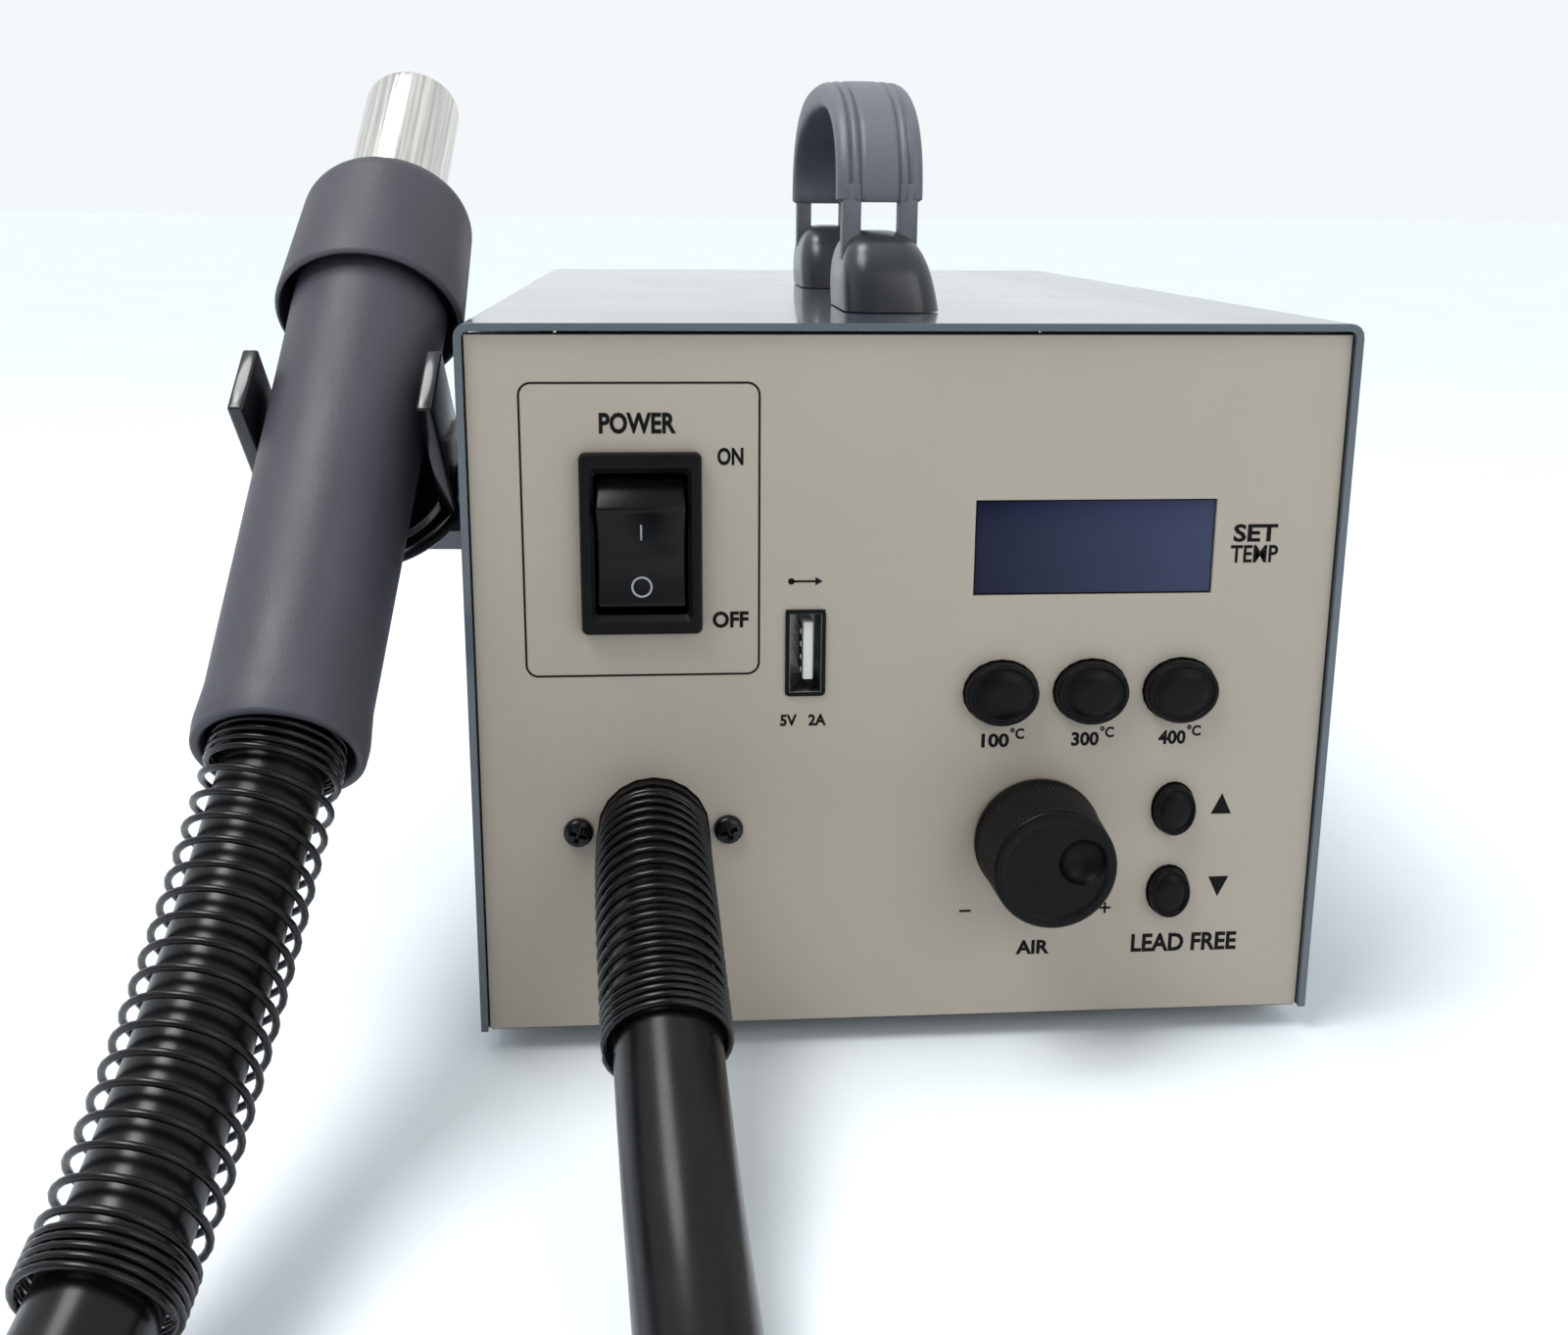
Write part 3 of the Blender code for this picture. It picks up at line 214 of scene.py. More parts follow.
def soft_box(low, high, radius=0.0005, steps=3):
    """A box whose edges are quarter circles: rings whose inset and level follow sin and cos."""
    low, high = np.array(low, float), np.array(high, float)
    size = high - low
    q = np.linspace(0, pi / 2, steps + 1)
    inset, level = -radius * (1 - np.sin(q)), radius * (1 - np.cos(q))
    profile = np.concatenate([np.stack([inset, level], 1), np.stack([inset, size[2] - level], 1)[::-1]])
    grid = framed(size[0], size[1], radius, profile, steps + 1)
    return grid + (*((low + high) / 2)[:2], low[2])


# %% [markdown]
# A finish is a Principled surface that wanders a little. A broad noise moves its colour and its
# gloss, and a fine noise makes its grain as a bump. Both read Object coordinates, which are
# metres here, so each size below is the real size of the mottling or the grain.


# %% Finish maker
def linear(red, green, blue):
    """An sRGB colour of 0 to 255 as linear light: ((c + 0.055) / 1.055) ^ 2.4."""
    c = np.array([red, green, blue]) / 255
    return tuple(np.where(c <= 0.04045, c / 12.92, ((c + 0.055) / 1.055) ** 2.4).tolist())


def node(material, kind, **settings):
    made = material.node_tree.nodes.new(kind)
    for key, value in settings.items():
        setattr(made, key, value)
    return made


def finish(name, colour, roughness, metallic=0.0, mottle=0.10, patch=0.02, gloss_swing=0.05,
           grain=0.0, grain_size=0.0006, coat=0.0, coat_roughness=0.08, turn=None, stretch=(1, 1, 1),
           specular=0.5):
    """A surface with a broad wander in colour and gloss, and a fine grain. turn and stretch line a
    pattern up with a piece."""
    made = bpy.data.materials.new(name)
    made.use_nodes = True
    made.diffuse_color = (*colour, 1)
    links, shader = made.node_tree.links, made.node_tree.nodes["Principled BSDF"]
    shader.inputs["Metallic"].default_value = metallic
    shader.inputs["Coat Weight"].default_value = coat
    shader.inputs["Coat Roughness"].default_value = coat_roughness
    shader.inputs["Specular IOR Level"].default_value = specular
    shader.inputs["IOR"].default_value = 1.5
    where = node(made, "ShaderNodeTexCoord").outputs["Object"]
    if turn is not None:
        aligned = node(made, "ShaderNodeMapping")
        aligned.inputs["Rotation"].default_value = Matrix(np.asarray(turn).tolist()).to_euler()
        links.new(where, aligned.inputs["Vector"])
        where = aligned.outputs["Vector"]
    scaled = node(made, "ShaderNodeMapping")
    scaled.inputs["Scale"].default_value = stretch
    links.new(where, scaled.inputs["Vector"])
    broad = node(made, "ShaderNodeTexNoise")
    broad.inputs["Scale"].default_value = 1 / patch
    broad.inputs["Detail"].default_value = 5
    links.new(scaled.outputs["Vector"], broad.inputs["Vector"])
    ramp = node(made, "ShaderNodeValToRGB")
    for stop, place, share in zip(ramp.color_ramp.elements, (0.3, 0.7), (1 - mottle, 1 + mottle)):
        stop.position = place
        stop.color = (*(min(1, c * share) for c in colour), 1)
    links.new(broad.outputs["Fac"], ramp.inputs["Fac"])
    links.new(ramp.outputs["Color"], shader.inputs["Base Color"])
    swing = node(made, "ShaderNodeMapRange")
    swing.inputs["From Min"].default_value, swing.inputs["From Max"].default_value = 0.3, 0.7
    swing.inputs["To Min"].default_value = max(0.02, roughness - gloss_swing)
    swing.inputs["To Max"].default_value = roughness + gloss_swing
    links.new(broad.outputs["Fac"], swing.inputs["Value"])
    links.new(swing.outputs["Result"], shader.inputs["Roughness"])
    if grain:
        fine = node(made, "ShaderNodeTexNoise")
        fine.inputs["Scale"].default_value = 1 / grain_size
        fine.inputs["Detail"].default_value = 3
        links.new(scaled.outputs["Vector"], fine.inputs["Vector"])
        bump = node(made, "ShaderNodeBump")
        bump.inputs["Strength"].default_value = grain
        bump.inputs["Distance"].default_value = 0.0002
        links.new(fine.outputs["Fac"], bump.inputs["Height"])
        links.new(bump.outputs["Normal"], shader.inputs["Normal"])
    return made


# %% [markdown]
# The paints. The front plate is a warm grey powder coat with a faint orange-peel, and the cover
# is a slate-blue enamel under a clear gloss, which is why its top mirrors the room.

# %% Paint and metal finishes
PANEL_PAINT = finish("panel_powder_coat", linear(166, 157, 145), 0.45, mottle=0.03, patch=0.05,
                     grain=0.06, grain_size=0.0012, specular=0.3)
COVER_PAINT = finish("cover_enamel", linear(68, 78, 86), 0.26, mottle=0.05, patch=0.04, grain=0.012,
                     grain_size=0.0015, coat=0.8, coat_roughness=0.08, metallic=0.1)
ZINC = finish("zinc_plate", linear(172, 174, 176), 0.38, metallic=0.9, mottle=0.14, patch=0.010,
              grain=0.10, grain_size=0.0008)
NOZZLE_STEEL = finish("brushed_nozzle_steel", linear(214, 210, 204), 0.17, metallic=1.0, mottle=0.30,
                      patch=0.0011, gloss_swing=0.09, grain=0.22, grain_size=0.0004, turn=GUN,
                      stretch=(1, 1, 0.018))
SOCKET_STEEL = finish("socket_steel", linear(142, 142, 140), 0.30, metallic=1.0, mottle=0.12, patch=0.002)
BRASS = finish("brass", linear(190, 156, 92), 0.28, metallic=1.0, mottle=0.10, patch=0.003)
COPPER = finish("winding_and_core", linear(138, 92, 62), 0.42, metallic=0.5, mottle=0.22, patch=0.0020,
                grain=0.3, grain_size=0.0007, stretch=(1, 1, 6))
print("paints and metals:", len(bpy.data.materials))

# %% [markdown]
# The blacks are all different. The gun is a charcoal moulding with a satin grain, the holder is
# glossy, the rocker is smoother than its satin frame, the handle's feet are a dark grey with a
# soft shine, the hose is polished rubber and the guards are black-coated wire.

# %% Plastic and rubber finishes
GUN_PLASTIC = finish("gun_charcoal_plastic", linear(62, 62, 69), 0.50, mottle=0.12, patch=0.010,
                     gloss_swing=0.08, grain=0.22, grain_size=0.0007, turn=GUN, stretch=(1, 1, 0.35),
                     specular=0.35)
GRIP_PLASTIC = finish("grip_grey_plastic", linear(88, 90, 98), 0.45, mottle=0.08, patch=0.010, grain=0.12)
GLOSS_BLACK = finish("gloss_black_plastic", linear(17, 17, 19), 0.18, mottle=0.15, patch=0.012, coat=0.35,
                     coat_roughness=0.08, grain=0.03, specular=0.3)
SATIN_BLACK = finish("satin_black_plastic", linear(12, 12, 13), 0.38, mottle=0.15, patch=0.008, grain=0.10,
                     grain_size=0.0005, specular=0.11)
ROCKER_BLACK = finish("rocker_black_plastic", linear(14, 14, 15), 0.26, mottle=0.12, patch=0.008, grain=0.04,
                      specular=0.18)
HANDLE_FOOT_PLASTIC = finish("handle_foot_plastic", linear(44, 47, 50), 0.30, mottle=0.15, patch=0.012,
                             coat=0.2, coat_roughness=0.2, grain=0.05, specular=0.35)
HOSE_RUBBER = finish("polished_hose_rubber", linear(11, 11, 12), 0.28, mottle=0.2, patch=0.015, coat=0.12,
                     coat_roughness=0.22, grain=0.05, grain_size=0.0015, specular=0.2)
GUARD_WIRE = finish("black_guard_wire", linear(13, 13, 14), 0.26, mottle=0.2, patch=0.006, coat=0.15,
                    coat_roughness=0.12, specular=0.2)
FOOT_RUBBER = finish("foot_rubber", linear(22, 22, 22), 0.7, mottle=0.2, patch=0.004, grain=0.2, specular=0.2)
SCREW_BLACK = finish("blackened_screw", linear(24, 24, 26), 0.28, metallic=0.6, mottle=0.25, patch=0.0015)
WHITE_PLASTIC = finish("white_plastic", linear(218, 218, 214), 0.4, mottle=0.03, patch=0.004)
BOARD_GREEN = finish("board_lacquer", linear(30, 92, 56), 0.36, mottle=0.25, patch=0.0035, coat=0.4)
CERAMIC = finish("heater_ceramic", linear(208, 200, 184), 0.72, mottle=0.10, patch=0.003, grain=0.3)
INK = finish("printing_ink", linear(14, 14, 15), 0.6, mottle=0.12, patch=0.003, grain=0.05, specular=0.1)
MARK_WHITE = finish("white_marking", linear(150, 152, 153), 0.5, mottle=0.05, patch=0.002)
print("finishes:", len(bpy.data.materials))

# %% [markdown]
# The display is dark navy glass over a sleeping screen. Its colour is a ramp along the piece
# itself, paler towards its right end: a painted reflection of the room in the glass.


# %% Display finish
def display_glass(name, left, right):
    """Navy glass: the colour goes from dark to slate along the first axis, from left to right, as a painted
    reflection.
    """
    made = finish(name, linear(48, 56, 88), 0.10, mottle=0.04, patch=0.02, grain=0.02, specular=0.12)
    links, shader = made.node_tree.links, made.node_tree.nodes["Principled BSDF"]
    where = node(made, "ShaderNodeTexCoord")
    split = node(made, "ShaderNodeSeparateXYZ")
    along = node(made, "ShaderNodeMapRange")
    along.inputs["From Min"].default_value, along.inputs["From Max"].default_value = left, right
    ramp = node(made, "ShaderNodeValToRGB")
    stops = ramp.color_ramp.elements
    # The paler slate stop at the right end is a painted reflection, not the glass's own colour.
    stops[0].color, stops[1].color = (*linear(22, 25, 48), 1), (*linear(56, 62, 88), 1)
    links.new(where.outputs["Object"], split.inputs["Vector"])
    links.new(split.outputs["X"], along.inputs["Value"])
    links.new(along.outputs["Result"], ramp.inputs["Fac"])
    links.new(ramp.outputs["Color"], shader.inputs["Base Color"])
    return made


window_low, window_high = box("display_window")
DISPLAY_GLASS_WITH_PAINTED_REFLECTION = display_glass("display_glass", window_low[0], window_high[0])

# %% [markdown]
# One function turns shells into a finished piece: it welds the seams and poles, turns the faces
# outwards, smooths all but the sharp edges, and hangs the piece on the part it moves with.


# %% Piece maker
def new_piece(name, mesh, surface, body=None, nodes=()):
    """An object at the origin with a surface, the body it moves with and the nodes
    it stands for."""
    made = bpy.data.objects.new(name, mesh)
    bpy.context.scene.collection.objects.link(made)
    mesh.materials.clear()
    mesh.materials.append(surface)
    if nodes:
        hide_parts(*nodes)
    if body:
        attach(made, body)
    return made


def piece(name, shells, surface, body=None, nodes=(), sharp=38):
    """Closed shells as one piece: welded, facing outwards and smooth up to the sharp angle."""
    points, faces, count = [], [], 0
    for some, joined in shells:
        points.append(some)
        faces += [[corner + count for corner in face] for face in joined]
        count += len(some)
    mesh = bpy.data.meshes.new(name)
    mesh.from_pydata(np.concatenate(points).tolist(), [], faces)
    work = bmesh.new()
    work.from_mesh(mesh)
    bmesh.ops.remove_doubles(work, verts=work.verts, dist=1e-7)
    bmesh.ops.recalc_face_normals(work, faces=work.faces)
    work.to_mesh(mesh)
    work.free()
    mesh.polygons.foreach_set("use_smooth", np.ones(len(mesh.polygons), bool))
    mesh.set_sharp_from_angle(angle=radians(sharp))
    return new_piece(name, mesh, surface, body, nodes)


# %% [markdown]
# The hose leaves the fitting straight, falls to the bench, makes one loop in front of the
# station and climbs to the gun. Its line is a cubic B-spline: the chosen points pull a smooth
# curve towards them, so no bend is tighter than the hose would take.

# %% Hose line
HOSE_RADIUS, HOSE_WALL = 0.0100, 0.0020
HOSE_ROUTE = np.array([
    (-0.0549, 0.0018, 0.0521), (-0.0549, -0.0060, 0.0521), (-0.0549, -0.0120, 0.0521),
    (-0.0546, -0.0230, 0.0508), (-0.0538, -0.0400, 0.0466), (-0.0522, -0.0640, 0.0358),
    (-0.0505, -0.0870, 0.0256), (-0.0488, -0.1050, 0.0178), (-0.0470, -0.1280, 0.0120),
    (-0.0438, -0.1518, 0.0105), (-0.0360, -0.1723, 0.0103), (-0.0257, -0.1875, 0.0103),
    (-0.0148, -0.2041, 0.0103), (-0.0064, -0.2294, 0.0103), (-0.0070, -0.2637, 0.0103),
    (-0.0222, -0.2979, 0.0103), (-0.0527, -0.3245, 0.0103), (-0.0950, -0.3350, 0.0103),
    (-0.1373, -0.3245, 0.0103), (-0.1678, -0.2979, 0.0103), (-0.1830, -0.2637, 0.0103),
    (-0.1836, -0.2294, 0.0103), (-0.1752, -0.2041, 0.0103), (-0.1643, -0.1875, 0.0103),
    (-0.1540, -0.1723, 0.0106), (-0.1462, -0.1530, 0.0124), (-0.1412, -0.1360, 0.0158),
    (-0.1382, -0.1200, 0.0210), (-0.1362, -0.1060, 0.0270), (-0.1339, -0.0884, 0.0365),
    (-0.1322, -0.0700, 0.0466), (-0.1304, -0.0507, 0.0587), (-0.1288, -0.0360, 0.0700),
]) + FLOOR_ZERO
TAIL_FLOOR = -0.104
hose_end = placed([(0, 0, TAIL_FLOOR - 0.0160), (0, 0, TAIL_FLOOR - 0.0007)], GUN_ZERO, GUN)


def smooth_line(knots, count):
    """A cubic B-spline, ((1-t)^3 a + (3t^3-6t^2+4) b + (3t+3t^2-3t^3+1) c + t^3 d) / 6, in even steps
    of length."""
    k = np.vstack([2 * knots[0] - knots[1], knots, 2 * knots[-1] - knots[-2]])
    a, b, c, d = (part[:, None] for part in (k[:-3], k[1:-2], k[2:-1], k[3:]))
    t = np.linspace(0, 1, 24, endpoint=False)[:, None]
    fine = ((1 - t) ** 3 * a + (3 * t**3 - 6 * t**2 + 4) * b
            + (3 * t + 3 * t**2 - 3 * t**3 + 1) * c + t**3 * d) / 6
    fine = np.vstack([fine.reshape(-1, 3), k[-2]])
    travelled = np.concatenate([[0], np.cumsum(np.linalg.norm(np.diff(fine, axis=0), axis=1))])
    even = np.linspace(0, travelled[-1], count)
    return np.stack([np.interp(even, travelled, fine[:, i]) for i in range(3)], axis=1), travelled[-1]


def line_frames(line):
    """At each point: the direction ahead, a level sideways direction, and the one square to both."""
    ahead = np.gradient(line, axis=0)
    ahead /= np.linalg.norm(ahead, axis=1, keepdims=True)
    side = np.cross(ahead, (0, 0, 1))
    side /= np.linalg.norm(side, axis=1, keepdims=True)
    return ahead, side, np.cross(side, ahead)


hose_line, hose_length = smooth_line(np.vstack([HOSE_ROUTE, hose_end]), 480)
hose_ahead, hose_side, hose_up = line_frames(hose_line)
print("hose length", round(float(hose_length), 4))

# %% [markdown]
# The hose itself is a thick-walled tube: a ring carried along the line on the outside and back
# again on the inside, so that it is open at both ends and still one closed skin.


# %% Hose
def tube(line, side, up, outer, inner, sides):
    """Rings line + r (side cos a + up sin a), out along the outer radius and back along the inner one."""
    a = np.linspace(0, 2 * pi, sides, endpoint=False)
    round_it = side[:, None] * np.cos(a)[:, None] + up[:, None] * np.sin(a)[:, None]
    return np.concatenate([line[:, None] + outer * round_it, (line[:, None] + inner * round_it)[::-1]])


def bends(made):
    """Bakes the piece's place into its mesh; nothing ties it to the station or the gun."""
    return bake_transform(made)


hose_rings = tube(hose_line, hose_side, hose_up, HOSE_RADIUS, HOSE_RADIUS - HOSE_WALL, 40)
hose = piece("air_hose_tube", [shell(hose_rings, ring=True)], HOSE_RUBBER,
             nodes=["air_hose"], sharp=60)
bends(hose)
print("hose faces", len(hose.data.polygons))

# %% [markdown]
# Each end of the hose wears a spring guard, a coil of coated wire that stops the rubber from
# folding. A coil is a circle whose centre walks along the hose line. The turns are close at the
# ends and open between them, so the walk per turn changes along the coil.


# %% Spring guards
def coil(first, turns, radius, wire, steps=30, sides=10):
    """A wire round the hose line: centre(s) + radius (side cos a + up sin a), where s gains one pitch
    for each turn of a."""
    pitch = np.concatenate([np.full(round(count * steps), gap) for count, gap in turns])
    s = first + np.concatenate([[0], np.cumsum(pitch / steps)])
    a = 2 * pi * np.arange(len(s)) / steps
    at = s / hose_length * (len(hose_line) - 1)
    places = np.arange(len(hose_line))
    centre, side, up = (np.stack([np.interp(at, places, x[:, i]) for i in range(3)], axis=1)
                        for x in (hose_line, hose_side, hose_up))
    out = side * np.cos(a)[:, None] + up * np.sin(a)[:, None]
    middle_line = centre + radius * out
    ahead = np.gradient(middle_line, axis=0)
    ahead /= np.linalg.norm(ahead, axis=1, keepdims=True)
    across = np.cross(ahead, out)
    b = np.linspace(0, 2 * pi, sides, endpoint=False)
    thick = np.full(len(s), wire)
    thick[[0, -1]] = 0.5 * wire
    section = out[:, None] * np.cos(b)[:, None] + across[:, None] * np.sin(b)[:, None]
    return middle_line[:, None] + thick[:, None, None] * section


WIRE = 0.0007
TIGHT = 2 * WIRE + 0.0003
PANEL_TURNS = ((1, TIGHT), (15, 0.0034), (5, TIGHT))
GUN_TURNS = ((5, TIGHT), (17, 0.0054), (10, TIGHT))
PANEL_COIL_RADIUS, GUN_COIL_RADIUS = 0.0115, 0.0125
PANEL_COIL_START, GUN_COIL_MARGIN = 0.0064, 0.0012
panel_guard = piece("panel_spring_guard",
                    [shell(coil(PANEL_COIL_START, PANEL_TURNS, PANEL_COIL_RADIUS, WIRE), caps=True)],
                    GUARD_WIRE, "station", ["spring_guard_panel"], sharp=70)
gun_coil_length = sum(count * gap for count, gap in GUN_TURNS)
gun_coil_start = hose_length - gun_coil_length - GUN_COIL_MARGIN
gun_guard = piece("gun_spring_guard",
                  [shell(coil(gun_coil_start, GUN_TURNS, GUN_COIL_RADIUS, WIRE), caps=True)],
                  GUARD_WIRE, nodes=["spring_guard_gun"], sharp=70)
bends(gun_guard)
print("guard turns", *(sum(count for count, gap in turns) for turns in (PANEL_TURNS, GUN_TURNS)))

# %% [markdown]
# The station stands on a plain pale floor in soft light. A soft lamp above and to the left models
# the round parts, a wider one fills the front, and a broad sun lifts the far floor towards the
# sky's brightness. The sky is pale behind the station, for the glossy cover to mirror, and darker
# in front of it, so that the blacks stay black.

# %% Floor and light
scene = bpy.context.scene
scene.view_settings.view_transform = "Standard"
FLOOR_HALF = 30.0
floor_mesh = bpy.data.meshes.new("floor")
floor_mesh.from_pydata([(-FLOOR_HALF, -FLOOR_HALF, 0), (FLOOR_HALF, -FLOOR_HALF, 0),
                        (FLOOR_HALF, FLOOR_HALF, 0), (-FLOOR_HALF, FLOOR_HALF, 0)], [], [(0, 1, 2, 3)])
floor = bpy.data.objects.new("floor", floor_mesh)
scene.collection.objects.link(floor)
floor_mesh.materials.append(finish("pale_floor", linear(230, 236, 240), 0.6, mottle=0.02, patch=0.25,
                                   specular=0.2))

sky = bpy.data.worlds.new("soft_sky")
sky.use_nodes = True
sky_nodes, sky_links = sky.node_tree.nodes, sky.node_tree.links
looking_to = sky_nodes.new("ShaderNodeTexCoord")
parts_of = sky_nodes.new("ShaderNodeSeparateXYZ")
from_front = sky_nodes.new("ShaderNodeMapRange")
from_front.interpolation_type = "SMOOTHSTEP"
from_front.inputs["From Min"].default_value, from_front.inputs["From Max"].default_value = -0.9, 0.1
from_front.inputs["To Min"].default_value, from_front.inputs["To Max"].default_value = 0.30, 1.0
sky_links.new(looking_to.outputs["Generated"], parts_of.inputs["Vector"])
sky_links.new(parts_of.outputs["Y"], from_front.inputs["Value"])
sky_links.new(from_front.outputs["Result"], sky_nodes["Background"].inputs["Strength"])
sky_nodes["Background"].inputs["Color"].default_value = (*linear(243, 248, 251), 1)
scene.world = sky


def softbox(name, place, target, width, height, power):
    """A rectangular lamp at a place that faces a target."""
    lamp = bpy.data.lights.new(name, "AREA")
    lamp.shape, lamp.size, lamp.size_y, lamp.energy = "RECTANGLE", width, height, power
    made = bpy.data.objects.new(name, lamp)
    scene.collection.objects.link(made)
    back = np.array(place, float) - np.array(target, float)
    back /= np.linalg.norm(back)
    right = np.cross((0, 0, 1), back)
    right /= np.linalg.norm(right)
    rows = np.vstack([np.array([right, np.cross(back, right), back, place]).T, [0, 0, 0, 1]])
    made.matrix_world = Matrix(rows.tolist())
    return made


softbox("key_light", (-0.50, -0.45, 1.10), (0.0, -0.05, 0.10), 0.55, 0.45, 7)
softbox("front_fill", (0.75, -1.25, 0.75), (0.0, -0.1, 0.08), 1.0, 0.8, 6)
overhead = bpy.data.objects.new("overhead", bpy.data.lights.new("overhead", "SUN"))
overhead.data.energy, overhead.data.angle = 1.3, radians(24)
overhead.rotation_euler = (radians(-4), radians(-17), 0)
scene.collection.objects.link(overhead)

# %% [markdown]
# The gun's body is a plain tapered tube with a small bead at the tail, and the heat collar sits
# over its upper end. Both are turned parts, so a profile and an axis are all that they need.
# The profile runs up the outside and down the inside, which gives the tube its wall.

# %% Gun body and heat collar
BODY_TOP, BODY_TAIL, BODY_LENGTH, BODY_WALL = 0.0180, 0.0163, 0.119, 0.0022
COLLAR_SEAT, COLLAR_HIGH, COLLAR_MOUTH = 0.0200, 0.038, 0.016
inner = BODY_TAIL - BODY_WALL
body_profile = [(BODY_TOP - BODY_WALL, COLLAR_SEAT - 0.0003), (BODY_TOP, COLLAR_SEAT - 0.0003),
                (BODY_TOP, 0.0), (BODY_TOP - 0.0003, -0.010), (BODY_TAIL, -BODY_LENGTH + 0.012),
                (BODY_TAIL + 0.0006, -BODY_LENGTH + 0.004), (BODY_TAIL + 0.0002, -BODY_LENGTH),
                (inner + 0.0006, -BODY_LENGTH), (inner, -BODY_LENGTH + 0.002), (inner, -0.020)]
piece("gun_grip_tube", [shell(moved(turned(soft(body_profile, 0.0012, 6), 112), GUN_ZERO, GUN), ring=True)],
      GUN_PLASTIC, "gun", ["gun_body"])
collar_low, collar_top, hole = 0.0219, 0.0205, 0.0124
lip = collar_low - 0.0012
collar_profile = [(lip, 0.0), (collar_low - 0.0006, 0.0), (collar_low, 0.0010),
                  (collar_top, COLLAR_HIGH - 0.0045), (collar_top - 0.0012, COLLAR_HIGH - 0.0015),
                  (collar_top - 0.0040, COLLAR_HIGH), (hole, COLLAR_HIGH), (hole, COLLAR_SEAT),
                  (BODY_TOP + 0.0003, COLLAR_SEAT), (BODY_TOP + 0.0003, COLLAR_MOUTH),
                  (lip, COLLAR_MOUTH)]
piece("heat_collar", [shell(moved(turned(soft(collar_profile, 0.0014, 6), 112), GUN_ZERO, GUN), ring=True)],
      GUN_PLASTIC, "gun", ["gun_collar"])

# %% [markdown]
# The nozzle is thin steel tube with a turned lip. Inside it stands the ceramic heater, with its
# wire wound in a flat spiral on the front face, which shows when the gun is seen from behind.

# %% Nozzle and heater
NOZZLE, NOZZLE_WALL = 0.0121, 0.0008
TIP = COLLAR_HIGH + 0.042
bore = NOZZLE - NOZZLE_WALL
nozzle_profile = [(bore, -0.018), (NOZZLE, -0.018), (NOZZLE, TIP - 0.0012), (NOZZLE - 0.0002, TIP),
                  (bore, TIP), (bore - 0.0001, TIP - 0.0012)]
piece("steel_nozzle", [shell(moved(turned(soft(nozzle_profile, 0.0005, 4), 112), GUN_ZERO, GUN), ring=True)],
      NOZZLE_STEEL, "gun", ["nozzle_tube"])
core = bore - 0.0012
core_face = TIP - 0.018
grooves = np.arange(0.002, core_face - 0.006, 0.0030)
groove_profile = np.stack([np.tile([core, core - 0.0008, core - 0.0008, core], len(grooves)),
                           (grooves[:, None] + [0, 0.0003, 0.0011, 0.0014]).ravel()], axis=1)
core_profile = np.vstack([[(0.002, -0.010), (core, -0.010)], groove_profile,
                          [(core, core_face), (0.002, core_face)]])
piece("ceramic_heater", [shell(moved(turned(soft(core_profile, 0.0003, 3), 56), GUN_ZERO, GUN), ring=True)],
      CERAMIC, "gun", ["heater_core"])


def spiral_wire(first, last, turns, level, wire, steps=220, sides=8):
    """A flat spiral: the radius grows evenly with the angle, and a small circle is carried along it."""
    a = np.linspace(0, 2 * pi * turns, steps)
    r = np.linspace(first, last, steps)
    out = np.stack([np.cos(a), np.sin(a), 0 * a], axis=1)
    b = np.linspace(0, 2 * pi, sides, endpoint=False)
    line = out * r[:, None] + (0, 0, level)
    section = out[:, None] * np.cos(b)[:, None] + np.array([0, 0, 1.0]) * np.sin(b)[:, None]
    return line[:, None] + wire * section


heater_spiral = spiral_wire(0.0032, core - 0.0012, 4.5, core_face + 0.0004, 0.00035)
piece("heater_wire", [shell(moved(heater_spiral, GUN_ZERO, GUN), caps=True)], SOCKET_STEEL, "gun")
tail_inside, nipple = inner - 0.0003, 0.0072
tail_profile = [(nipple - 0.0018, TAIL_FLOOR - 0.0095), (nipple, TAIL_FLOOR - 0.0095), (nipple, TAIL_FLOOR),
                (tail_inside, TAIL_FLOOR), (tail_inside, TAIL_FLOOR + 0.004),
                (nipple - 0.0018, TAIL_FLOOR + 0.004)]
piece("tail_fitting", [shell(moved(turned(soft(tail_profile, 0.0004, 3), 56), GUN_ZERO, GUN), ring=True)],
      SATIN_BLACK, "gun", ["gun_tail"])
print("heater grooves", len(grooves))

# %% [markdown]
# The holder is one glossy moulding: a dished disc behind the gun and two flat arms beside it.
# The disc is turned about the screw that holds it, and the arms are boxes with soft edges, set
# in the gun's own axes so that they stay square to it.

# %% Holder
ARM_INSIDE, ARM_THICK, ARM_REACH, ARM_HIGH, LEVEL = BODY_TOP + 0.0004, 0.0036, 0.0135, 0.0090, -0.032
disc_back = ARM_INSIDE + 0.0030
DISC = np.array([GUN[0], GUN[2], -GUN[1]])
disc_zero = placed((0, disc_back, LEVEL), GUN_ZERO, GUN)
disc_profile = [(0, -0.0050), (0.0210, -0.0050), (0.0240, -0.0030), (0.0240, -0.0012), (0.0228, 0.0),
                (0.0205, 0.0), (0.0165, -0.0022), (0, -0.0022)]
arms = []
for side in (-1, 1):
    near, far = sorted((side * ARM_INSIDE, side * (ARM_INSIDE + ARM_THICK)))
    arm = soft_box((near, -ARM_REACH, LEVEL - ARM_HIGH), (far, disc_back + 0.0034, LEVEL + ARM_HIGH), 0.0007)
    arms.append(shell(moved(arm, GUN_ZERO, GUN), caps=True))
piece("holder_fork_moulding",
      [shell(moved(turned(soft(disc_profile, 0.0014, 6, closed=False), 96), disc_zero, DISC)), *arms],
      GLOSS_BLACK, "station", ["holder_fork"])
print("holder disc at", disc_zero.round(4))

# %% [markdown]
# The screws are pan heads with a cross recess. A head is a dome in polar coordinates; where a
# point lies inside one of the two crossed bars, it is pushed down to the recess's floor.


